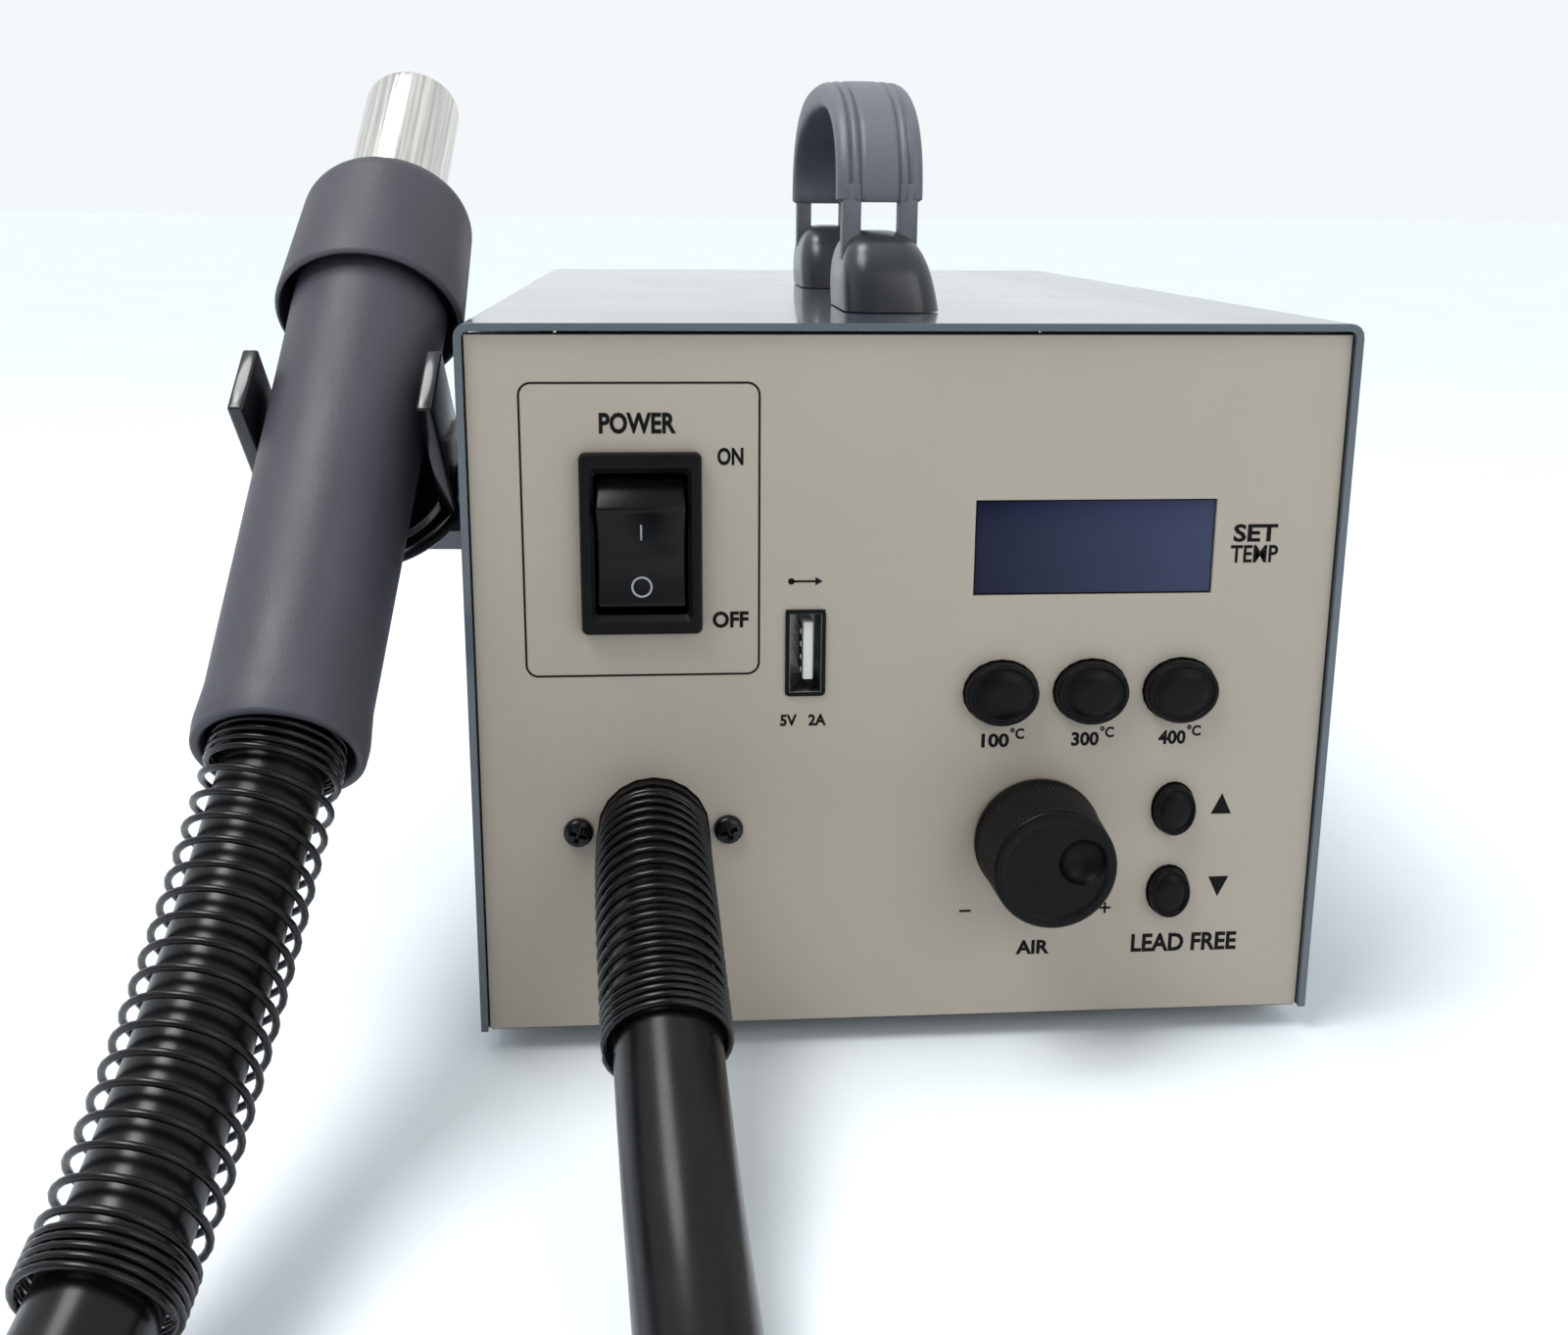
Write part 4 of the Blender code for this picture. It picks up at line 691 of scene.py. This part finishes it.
# %% Screws
def pan_head(radius, rise, shank, turn=0.0, sides=96):
    """A dome r = R sin(f)^0.8, z = rise cos(f)^0.55 whose crossed bars |x| < w, |y| < l are sunk, on a
    straight shank."""
    f = np.linspace(pi / 2, 0, 26)
    dome = np.stack([radius * np.sin(f) ** 0.8, rise * np.cos(f) ** 0.55], axis=1)
    profile = np.vstack([[(0, -shank), (0.0015, -shank), (0.0015, 0.0003), (radius, 0.0003)], dome])
    grid = turned(profile, sides)
    x, y = np.abs(grid[..., 0]), np.abs(grid[..., 1])
    wide, long, edge = 0.13 * radius, 0.56 * radius, 0.05 * radius
    bars = [np.clip((wide - p) / edge + 0.5, 0, 1) * np.clip((long - q) / edge + 0.5, 0, 1)
            for p, q in ((x, y), (y, x))]
    sunk = np.maximum(*bars) * (grid[..., 2] > 0.3 * rise)
    grid[..., 2] -= sunk * (grid[..., 2] - 0.35 * rise)
    return placed(grid, (0, 0, 0), [[cos(turn), sin(turn), 0], [-sin(turn), cos(turn), 0], [0, 0, 1]])


SCREW_RADIUS, SCREW_RISE = 0.0032, 0.0022
OUTWARD_LEFT = np.array([[0, 0, 1], [0, 1, 0], [-1, 0, 0]], float)
OUTWARD_RIGHT = np.array([[0, 0, -1], [0, 1, 0], [1, 0, 0]], float)


def screw(name, stands_for, at, axes, shank, turn):
    """A pan-head screw at a place, in the stead of one of the frame's screws."""
    head = pan_head(SCREW_RADIUS, SCREW_RISE, shank, turn)
    piece(name, [shell(moved(head, at, axes))], SCREW_BLACK, "station", [stands_for])


for number, side in ((1, "left"), (2, "right")):
    at = middle(f"outlet_screw_{number}")
    at[1] = PANEL_ZERO[1]
    screw(f"hose_fitting_screw_{side}", f"outlet_screw_{number}", at, PANEL, 0.006, 0.35 * (2 * number - 3))
for number in (1, 2, 3, 4):
    at = middle(f"cover_screw_{number}")
    at[0] = case_low[0] if number < 3 else case_high[0]
    screw(f"case_screw_{number}", f"cover_screw_{number}", at, OUTWARD_LEFT if number < 3 else OUTWARD_RIGHT,
          SCREW_RISE, 0.5 * number)
for number in (1, 2):
    at = middle(f"holder_screw_{number}")
    at[0] = box(f"holder_screw_{number}")[1][0]
    screw(f"bracket_screw_{number}", f"holder_screw_{number}", at, OUTWARD_LEFT, 0.0, 0.8 * number)
print("screws", 8)

# %% [markdown]
# The power switch is a rocker in a deep satin frame. The frame is a strip carried between two
# rounded rectangles, the outer edge and the opening. The rocker is a shaped block on a pivot
# behind the panel, tipped so that its upper end stands out.

# %% Switch frame
SWITCH_SIZE, SWITCH_OPENING = (0.0252, 0.0382), (0.0192, 0.0299)
switch_at = middle("switch_housing")
switch_zero = np.array([switch_at[0], PANEL_ZERO[1], switch_at[2]])


def between(outer, opening, radii, profile, steps=6):
    """A profile of (share, level) carried between two rounded rectangles: outer + share (opening - outer)."""
    rings = []
    for size, radius in zip((outer, opening), radii):
        centres, out = corner_ring(*size, radius, steps)
        rings.append(centres + radius * out)
    share, level = np.asarray(profile, float).T
    flat = rings[0] + share[:, None, None] * (rings[1] - rings[0])
    return np.concatenate([flat, np.broadcast_to(level[:, None, None], (*flat.shape[:2], 1))], axis=-1)


frame_profile = [(0.46, -0.0215), (0.46, 0.0003), (0.0, 0.0003), (0.0, 0.0020), (0.10, 0.0030),
                 (0.70, 0.0030), (0.92, 0.0021), (1.0, 0.0018), (1.0, -0.0190)]
reach = [0, 0.0001, 0.0002, 0.0008, 0.0008, 0.0008, 0.0004, 0.0003, 0]
piece("switch_frame", [shell(moved(between(SWITCH_SIZE, SWITCH_OPENING, (0.0014, 0.0008),
                                           soft(frame_profile, reach, 4, closed=False)), switch_zero, PANEL),
                             caps=True)], SATIN_BLACK, "station", ["switch_housing"])

# %% Rocker
ROCKER_HALF = SWITCH_OPENING[1] / 2 - 0.0007
ROCKER_WIDE = SWITCH_OPENING[0] / 2 - 0.0004
TILT = radians(9)
rocker_zero = switch_zero + (0, 0.0040, 0)
ROCKER = np.array([PANEL[0], cos(TILT) * PANEL[1] + sin(TILT) * PANEL[2],
                   cos(TILT) * PANEL[2] - sin(TILT) * PANEL[1]])


def slab(outline, half, edge=0.0006, steps=4):
    """An outline drawn in (second, third) and given width along the first axis; its ends shrink by a
    quarter circle."""
    p = np.asarray(outline, float)
    along = np.roll(p, -1, 0) - np.roll(p, 1, 0)
    normal = np.stack([along[:, 1], -along[:, 0]], axis=1)
    normal /= np.linalg.norm(normal, axis=1, keepdims=True)
    normal *= np.sign(((p - p.mean(0)) * normal).sum())
    q = np.linspace(0, pi / 2, steps)
    inset = np.concatenate([edge * (1 - np.sin(q)), edge * (1 - np.sin(q))[::-1]])
    place = np.concatenate([-half + edge * (1 - np.cos(q)), (half - edge * (1 - np.cos(q)))[::-1]])
    flat = p - inset[:, None, None] * normal
    return np.concatenate([np.broadcast_to(place[:, None, None], (*flat.shape[:2], 1)), flat], axis=-1)


face = np.linspace(-0.86, 0.62, 13)
face_outline = np.stack([ROCKER_HALF * face, 0.0050 + 0.0022 * np.abs(face / 0.74) ** 1.6], axis=1)
rocker_outline = np.vstack([face_outline, [
    (ROCKER_HALF * 0.99, 0.0010), (0.75 * ROCKER_HALF, -0.0045), (0, -0.0062),
    (-0.75 * ROCKER_HALF, -0.0045), (-ROCKER_HALF * 0.99, 0.0010)]])
rocker_grid = moved(slab(soft(rocker_outline, 0.0007, 4), ROCKER_WIDE), rocker_zero, ROCKER)
piece("switch_rocker", [shell(rocker_grid, caps=True)], ROCKER_BLACK, "power_rocker",
      ["power_rocker"], sharp=30)


def face_height(y):
    return 0.0050 + 0.0022 * (abs(y / ROCKER_HALF) / 0.74) ** 1.6


def lying(y, lift=0.0):
    """Axes and place of a small mark on the rocker's curved face."""
    slope = (face_height(y + 1e-4) - face_height(y - 1e-4)) / 2e-4
    along = np.array([0, 1, slope]) / np.hypot(1, slope)
    out = np.array([0, -slope, 1]) / np.hypot(1, slope)
    axes = np.array([(1, 0, 0), along, out]) @ ROCKER
    return placed((0, y, face_height(y) + lift), rocker_zero, ROCKER), axes


on_at, on_axes = lying(0.0034)
off_at, off_axes = lying(-0.0082)
ring_profile = [(0.0018, -0.0001), (0.0022, -0.0001), (0.0022, 0.00006), (0.0018, 0.00006)]
piece("rocker_on_bar", [shell(moved(soft_box((-0.0002, -0.0020, -0.0001), (0.0002, 0.0020, 0.00006), 0.00003),
                                    on_at, on_axes), caps=True)], MARK_WHITE, "power_rocker")
piece("rocker_off_ring", [shell(moved(turned(np.array(ring_profile), 48), off_at, off_axes), ring=True)],
      MARK_WHITE, "power_rocker")
print("rocker tilt", round(float(np.degrees(TILT))), "degrees")

# %% [markdown]
# The buttons are oval caps with a raised soft rim round a low dome. Their profile is turned
# like a round part and then made oval. The flange behind the panel keeps them from falling out.

# %% Buttons
PRESET, STEP = ((0.0159, 0.0139), 0.0038), ((0.0091, 0.0115), 0.0032)
BUTTONS = (("100", *PRESET), ("300", *PRESET), ("400", *PRESET), ("up", *STEP), ("down", *STEP))


def cap_profile(radius, rise):
    """Stem, flange, straight side, rim and dome as (share of the radius, height)."""
    back = -0.0018
    share = np.array([0, 0.30, 0.30, 1.12, 1.12, 1.0, 1.0, 0.97, 0.88, 0.80, 0.60, 0.35, 0.0])
    height = np.array([-0.0080, -0.0080, back - 0.0012, back - 0.0012, back, back, 0.60 * rise, 0.80 * rise,
                       0.84 * rise, 0.66 * rise, 0.88 * rise, 0.98 * rise, rise])
    reach = np.array([0, 1, 1, 1, 1, 1, 2, 4, 5, 6, 8, 8, 0]) * 0.0001
    return soft(np.stack([share * radius, height], axis=1), reach, 5, closed=False)


for label, size, rise in BUTTONS:
    at = middle(f"button_{label}")
    at[1] = PANEL_ZERO[1]
    mean = sum(size) / 4
    grid = turned(cap_profile(mean, rise), 72, (size[0] / 2 / mean, size[1] / 2 / mean))
    piece(f"push_cap_{label}", [shell(moved(grid, at, PANEL))], SATIN_BLACK,
          f"button_{label}", [f"button_{label}"])
print("caps", len(BUTTONS))

# %% [markdown]
# The air knob is a fluted skirt with a flat face and one round dimple that shows its position.
# On the grid, the flutes are a cosine of the angle taken off the skirt's radius, and the dimple
# is a shallow bowl taken off the face's height.

# %% Air knob
KNOB, KNOB_HIGH, FLUTES = 0.0141, 0.0190, 76
knob_at = middle("air_knob")
knob_zero = np.array([knob_at[0], PANEL_ZERO[1], knob_at[2]])
skirt = np.linspace(0, 1, 10)[:, None]
skirt_rows = (KNOB * 0.985, 0.0036) + skirt * (KNOB * (0.945 - 0.985), KNOB_HIGH - 0.0016 - 0.0036)
face_rows = np.stack([np.linspace(KNOB * 0.89, 0, 44), np.full(44, KNOB_HIGH)], axis=1)
face_rows[:, 1] -= 0.0005 * np.clip((KNOB * 0.80 - face_rows[:, 0]) / 0.0006, 0, 1)
back_rows = [(0, 0.0150), (0.0033, 0.0150), (0.0033, 0.0060), (0.0095, 0.0060), (0.0095, 0.0010),
             (KNOB - 0.0004, 0.0010), (KNOB, 0.0014), (KNOB, 0.0028), (KNOB - 0.0003, 0.0032)]
edge_rows = [(KNOB * 0.94, KNOB_HIGH - 0.0009), (KNOB * 0.925, KNOB_HIGH - 0.0003)]
knob_profile = np.vstack([back_rows, skirt_rows, edge_rows, face_rows])
knob_grid = turned(knob_profile, 6 * FLUTES)
angle = np.linspace(0, 2 * pi, 6 * FLUTES, endpoint=False)
fluted = np.zeros(len(knob_profile))
fluted[len(back_rows): len(back_rows) + len(skirt_rows)] = 1
knob_grid[..., :2] *= (1 - 0.024 * fluted[:, None] * (0.5 + 0.5 * np.cos(FLUTES * angle)))[..., None]
dimple = 0.0060 * np.array([cos(radians(15)), sin(radians(15))])
apart = np.linalg.norm(knob_grid[..., :2] - dimple, axis=-1) / 0.0051
on_face = knob_grid[..., 2] > KNOB_HIGH - 0.0008
knob_grid[..., 2] -= on_face * 0.0030 * np.clip(1 - apart**2, 0, 1) ** 0.6
piece("air_dial", [shell(moved(knob_grid, knob_zero, PANEL))], SATIN_BLACK, "air_knob",
      ["air_knob"], sharp=50)
print("knob flutes", FLUTES)

# %% [markdown]
# Sheet-metal and moulded parts with cut openings are already right in the frame. They only need
# soft edges, so a copy of each is merged into flat faces and given a small Bevel.


# %% Softened copies
def softened(name, source, width, surface, body, segments=2, angle=32):
    """A copy of a CAD node: triangles merged, flat areas joined, and each sharp edge rounded off."""
    work = bmesh.new()
    work.from_mesh(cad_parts[source].data)
    bmesh.ops.remove_doubles(work, verts=work.verts, dist=2e-6)
    bmesh.ops.dissolve_limit(work, angle_limit=radians(0.6), verts=work.verts, edges=work.edges)
    mesh = bpy.data.meshes.new(name)
    work.to_mesh(mesh)
    work.free()
    mesh.polygons.foreach_set("use_smooth", np.ones(len(mesh.polygons), bool))
    mesh.set_sharp_from_angle(angle=radians(angle))
    made = new_piece(name, mesh, surface, body, [source])
    edge = made.modifiers.new("soft_edges", "BEVEL")
    edge.width, edge.segments, edge.limit_method = width, segments, "ANGLE"
    edge.angle_limit = radians(angle)
    edge.harden_normals = True
    return made


softened("case_cover", "top_cover", 0.0004, COVER_PAINT, "station", 3)
softened("control_plate", "front_panel", 0.00012, PANEL_PAINT, "station")
softened("case_tray", "base_chassis", 0.0002, ZINC, "station")
softened("holder_arm", "holder_bracket", 0.0006, GRIP_PLASTIC, "station", 3)
softened("mains_socket", "mains_inlet", 0.0003, SATIN_BLACK, "station")
softened("fuse_tray", "fuse_drawer", 0.0003, GRIP_PLASTIC, "fuse_drawer")
softened("usb_can", "usb_shell", 0.00012, SOCKET_STEEL, "station")
softened("hose_fitting", "hose_outlet", 0.0003, SATIN_BLACK, "station", 2, 40)
for number in (1, 2, 3, 4):
    softened(f"rubber_foot_{number}", f"foot_{number}", 0.0004, FOOT_RUBBER, "station", 2, 40)
softened("holder_centre_screw", "holder_pivot", 0.0002, SCREW_BLACK, "station", 2, 40)

# %% [markdown]
# A thin black strip fills the slit between the front plate and the cover. It is painted shade, a dark band
# where the slit lies in shadow, which also keeps bare metal from showing. It is a narrow frame carried round
# the plate's edge, a little behind the paint.

# %% Slit shade strip
plate_low, plate_high = box("front_panel")
plate_zero = ((plate_low[0] + plate_high[0]) / 2, PANEL_ZERO[1], (plate_low[2] + plate_high[2]) / 2)
gap_shade_section = [(-0.0003, -0.0012), (0.0003, -0.0012), (0.0003, -0.0004), (-0.0003, -0.0004)]
gap_shade_ring = framed(plate_high[0] - plate_low[0], plate_high[2] - plate_low[2], 0.0006, np.array(gap_shade_section))
# This dark strip is painted shade: it stands for the shadow in the slit under the cover's lip.
piece("plate_gap_shade", [shell(moved(gap_shade_ring, plate_zero, PANEL), ring=True)], FOOT_RUBBER,
      "station")

# %% [markdown]
# The carry handle stands on two domed feet. A foot's rings shrink and rise like a superellipse,
# share^3.4 + level^2.8 = 1, which gives steep sides, a full shoulder and a softly crowned top. The
# rings also narrow a little and lean towards the grip as they rise.

# %% Handle feet
HANDLE_FOOT, FOOT_TAPER = (0.0214, 0.040, 0.0175), 0.08


def domed_foot(width, length, rise, radius=0.0065):
    """Rounded rectangle rings scaled by cos(f)^(2/3.4) at level rise sin(f)^(2/2.8)."""
    centres, out = corner_ring(width, length, radius, 9)
    ring = centres + radius * out
    f = np.linspace(0, pi / 2, 26)
    share, level = np.cos(f) ** (2 / 3.4), rise * np.sin(f) ** (2 / 2.8)
    share[-1] = 0
    flat = share[:, None, None] * ring
    return np.concatenate([flat, np.broadcast_to(level[:, None, None], (*flat.shape[:2], 1))], axis=-1)


for end in ("front", "rear"):
    low, high = box(f"handle_foot_{end}")
    at = (high[0] - HANDLE_FOOT[0] / 2, (low[1] + high[1]) / 2, low[2])
    grid = domed_foot(*HANDLE_FOOT)
    level = grid[..., 2] / HANDLE_FOOT[2]
    grid[..., :2] *= 1 - FOOT_TAPER * level[..., None]
    grid[..., 0] += (middle("handle_grip")[0] - at[0]) * level
    floor_row = grid[:1] * (0.9, 0.9, 1)
    piece(f"handle_{end}_foot", [shell(moved(np.concatenate([0 * floor_row, floor_row, grid]), at, UPRIGHT))],
          HANDLE_FOOT_PLASTIC, "station", [f"handle_foot_{end}"], sharp=50)

# %% [markdown]
# The grip is a strap on an arch. Its section has a crowned top with two grooves near each edge,
# and it is carried along the arch, a little left of the case's middle. Four narrow legs join it to the feet.

# %% Grip
grip_low, grip_high = box("handle_grip")
GRIP_X = (grip_low[0] + grip_high[0]) / 2
foot_front, foot_rear = box("handle_foot_front")[0][1], box("handle_foot_rear")[1][1]
arch_start, arch_end = foot_front + 0.0135, foot_rear - 0.0135
arch_low, arch_high = case_high[2] + 0.0240, grip_high[2] - 0.00325
f = np.linspace(0, pi, 81)
arch_half, arch_middle = (arch_end - arch_start) / 2, (arch_end + arch_start) / 2
arch = np.stack([np.full(81, GRIP_X), arch_middle - arch_half * np.sign(np.cos(f)) * np.abs(np.cos(f)) ** 0.8,
                 arch_low + (arch_high - arch_low) * np.sin(f) ** 0.75], axis=1)
arch_even = np.concatenate([[0], np.cumsum(np.linalg.norm(np.diff(arch, axis=0), axis=1))])
steps = np.concatenate([[0, 0.0006], np.linspace(0.003, arch_even[-1] - 0.003, 72),
                        [arch_even[-1] - 0.0006, arch_even[-1]]])
arch = np.stack([np.interp(steps, arch_even, arch[:, i]) for i in range(3)], axis=1)
arch_ahead = np.gradient(arch, axis=0)
arch_ahead /= np.linalg.norm(arch_ahead, axis=1, keepdims=True)
arch_out = np.cross((1, 0, 0), arch_ahead)


def strap_section(half, thick):
    """Half width w and half thickness h: b = +-h (1 - |a/w|^9)^(1/3). On each side of the top are
    grooves exp(-((|a| - s w) / 0.42 mm)^2) at s = 0.46 and s = 0.68."""
    a = half * np.sin(np.linspace(-pi / 2, pi / 2, 61))
    full = np.clip(1 - np.abs(a / half) ** 9, 0, 1) ** (1 / 3)
    top = thick * full * (1 - 0.10 * (a / half) ** 2)
    top -= 0.0008 * sum(np.exp(-(((np.abs(a) - share * half) / 0.00042) ** 2)) for share in (0.46, 0.68))
    under = -thick * full
    return np.concatenate([np.stack([a, top], 1), np.stack([a, under], 1)[::-1][1:-1]])


strap = strap_section(0.00975, 0.00325)
taper = np.ones(len(arch))
taper[[0, -1]] = 0.9
grip_grid = (arch[:, None] + taper[:, None, None] * (strap[:, :1] * np.array([1.0, 0, 0])
                                                     + strap[:, 1:] * arch_out[:, None]))
LEG_OUT, LEG_HALF, LEG_DEEP = 0.0064, 0.0021, 0.0028
legs = [shell(soft_box((GRIP_X + side * LEG_OUT - LEG_HALF, y - LEG_DEEP, case_high[2] + 0.0110),
                       (GRIP_X + side * LEG_OUT + LEG_HALF, y + LEG_DEEP, arch_low + 0.004), 0.0006),
              caps=True)
        for y in (arch_start, arch_end) for side in (-1, 1)]
piece("carry_grip", [shell(grip_grid, caps=True), *legs], GRIP_PLASTIC, "station",
      ["handle_grip"])
print("grip arch", round(float(arch_even[-1]), 3), "long")

# %% [markdown]
# The display is a slab of dark glass set in the plate, and the charging port has a black
# surround, a white tongue and four small contacts.

# %% Display and port
window_at = middle("display_window")
window_at[1] = PANEL_ZERO[1]
pane = soft_box((-0.0256, -0.0100, -0.0023), (0.0256, 0.0100, -0.0005), 0.0002)
piece("display_pane", [shell(moved(pane, window_at, PANEL), caps=True)], DISPLAY_GLASS_WITH_PAINTED_REFLECTION,
      "station", ["display_window"])
port_at = middle("usb_shell")
port_zero = np.array([port_at[0], PANEL_ZERO[1], port_at[2]])
surround = [(0.0001, 0.0001), (0.0004, 0.0001), (0.0004, 0.0005), (-0.0005, 0.0005),
            (-0.0005, 0.00042), (0.0001, 0.00042)]
port_ring = framed(0.0078, 0.0182, 0.0006, np.array(surround))
piece("port_surround", [shell(moved(port_ring, port_zero, PANEL), ring=True)], SATIN_BLACK,
      "station")
tongue_low, tongue_high = box("usb_tongue")
tongue = soft_box((tongue_low[0] - port_zero[0], tongue_low[2] - port_zero[2], -0.0127),
                  (tongue_high[0] - port_zero[0], tongue_high[2] - port_zero[2], -0.0014), 0.0003)
piece("port_tongue", [shell(moved(tongue, port_zero, PANEL), caps=True)], WHITE_PLASTIC,
      "station", ["usb_tongue"])
strips = [soft_box((-0.0010, y - 0.0006, -0.0100), (-0.0006, y + 0.0006, -0.0022), 0.0001)
          for y in (-0.0042, -0.0014, 0.0014, 0.0042)]
contacts = [shell(moved(strip, port_zero, PANEL), caps=True) for strip in strips]
piece("port_contacts", contacts, SOCKET_STEEL, "station")

# %% [markdown]
# The printing on the plate is a thin layer of ink. Words start as text, become a mesh, and are
# then fitted to the box that they fill on the plate. Signs such as the triangles are flat
# outlines given the same thickness.

# %% Printing tools
INK_LIFT = 0.00006


def flat_sign(outline):
    """A flat outline of (x, y) on the plate as a thin closed slab of ink."""
    p = np.asarray(outline, float)
    levels = np.array([0.00001, INK_LIFT])
    grid = np.concatenate([np.broadcast_to(p, (2, *p.shape)),
                           np.broadcast_to(levels[:, None, None], (2, len(p), 1))], axis=-1)
    return shell(placed(grid, PANEL_ZERO, PANEL), caps=True)


def words(name, text, x0, x1, y0, y1, weight=0.035):
    """Text as a thin mesh, stretched to fill x0 to x1 and y0 to y1 on the plate, in metres."""
    curve = bpy.data.curves.new(name, "FONT")
    curve.body, curve.offset, curve.extrude, curve.resolution_u = text, weight, 0.01, 3
    curve.align_x = "CENTER"
    temporary = bpy.data.objects.new(name + "_text", curve)
    bpy.context.scene.collection.objects.link(temporary)
    bpy.context.view_layer.update()
    mesh = bpy.data.meshes.new_from_object(temporary.evaluated_get(bpy.context.evaluated_depsgraph_get()))
    bpy.data.objects.remove(temporary)
    bpy.data.curves.remove(curve)
    mesh.name = name
    work = bmesh.new()
    work.from_mesh(mesh)
    bmesh.ops.remove_doubles(work, verts=work.verts, dist=1e-5)
    bmesh.ops.recalc_face_normals(work, faces=work.faces)
    work.to_mesh(mesh)
    work.free()
    points = np.empty(len(mesh.vertices) * 3, np.float32)
    mesh.vertices.foreach_get("co", points)
    points = points.reshape(-1, 3).astype(float)
    low, high = points.min(0), points.max(0)
    share = (points - low) / (high - low)
    fitted = np.array([x0, y0, 0.00001]) + share * (x1 - x0, y1 - y0, INK_LIFT - 0.00001)
    mesh.vertices.foreach_set("co", placed(fitted, PANEL_ZERO, PANEL).astype(np.float32).ravel())
    mesh.update()
    return new_piece(name, mesh, INK, "station")


# %% Printed words and signs
words("print_power", "POWER", -0.0650, -0.0493, 0.1325, 0.1369)
words("print_on", "ON", -0.0409, -0.0355, 0.1259, 0.1296)
words("print_off", "OFF", -0.0420, -0.0344, 0.0913, 0.0949)
words("print_port", "5V   2A", -0.0276, -0.0177, 0.0693, 0.0719)
words("print_100", "100", 0.0163, 0.0224, 0.0636, 0.0668)
words("print_300", "300", 0.0362, 0.0423, 0.0636, 0.0668)
words("print_400", "400", 0.0556, 0.0617, 0.0636, 0.0668)
for label, x in (("100", 0.0226), ("300", 0.0425), ("400", 0.0619)):
    words(f"print_degrees_{label}", "°C", x, x + 0.0031, 0.0654, 0.0680, 0.03)
words("print_air", "AIR", 0.0259, 0.0335, 0.0144, 0.0178)
words("print_lead_free", "LEAD FREE", 0.0523, 0.0766, 0.0142, 0.0186, 0.03)
words("print_set", "SET", 0.0692, 0.0788, 0.1088, 0.1127, 0.03)
words("print_temp", "TEMP", 0.0688, 0.0792, 0.1043, 0.1081, 0.02)
thin_line = [(-0.00022, 0.00001), (0.00022, 0.00001), (0.00022, INK_LIFT), (-0.00022, INK_LIFT)]
line_zero = on_panel((-0.0811 - 0.0322) / 2, (0.0812 + 0.1429) / 2)
border = framed(0.0489, 0.0617, 0.0025, np.array(thin_line), 10)
piece("print_switch_border", [shell(moved(border, line_zero, PANEL), ring=True)], INK,
      "station")
signs = [flat_sign([(0.0686, 0.0471), (0.0732, 0.0471), (0.0709, 0.0519)]),
         flat_sign([(0.0714 - 0.0023, 0.0321), (0.0714 + 0.0023, 0.0321), (0.0714, 0.0273)])]
bars = [(0.0140, 0.0253, 0.0013, 0.00025), (0.0458, 0.0252, 0.0013, 0.00025),
        (0.0458, 0.0252, 0.00025, 0.0013), (-0.0226, 0.1012, 0.0026, 0.00022)]
signs += [flat_sign([(x - w, y - h), (x + w, y - h), (x + w, y + h), (x - w, y + h)]) for x, y, w, h in bars]
dot = np.linspace(0, 2 * pi, 24, endpoint=False)
signs.append(flat_sign(np.stack([-0.0254 + 0.0007 * np.cos(dot), 0.1012 + 0.0007 * np.sin(dot)], axis=1)))
signs.append(flat_sign([(-0.0203, 0.1003), (-0.0188, 0.1012), (-0.0203, 0.1021)]))
piece("print_signs", signs, INK, "station", sharp=20)

# %% [markdown]
# What is left of the frame sits inside the case or behind a knob. Each of those parts keeps its
# own shape and takes the finish of what it is made of.

# %% Finishes for the frame's own parts
INSIDE = {
    ZINC: ("air_potentiometer", "heat_sink"),
    SOCKET_STEEL: ("air_shaft", "blower_motor"),
    BRASS: ("air_nut",),
    GRIP_PLASTIC: ("blower_volute",),
    WHITE_PLASTIC: ("blower_impeller", "switch_under_100", "switch_under_300", "switch_under_400",
                    "switch_under_up", "switch_under_down"),
    BOARD_GREEN: ("control_board", "power_board"),
    SATIN_BLACK: ("display_module",),
    COPPER: ("transformer",),
}
for surface, names in INSIDE.items():
    for name in names:
        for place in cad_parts[name].material_slots:
            place.material = surface
shown = [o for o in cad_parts.values() if not o.hide_render]
left = [o.name for o in shown if not any(o.name in names for names in INSIDE.values())]
print("frame parts shown", len(shown), "without a finish", left)
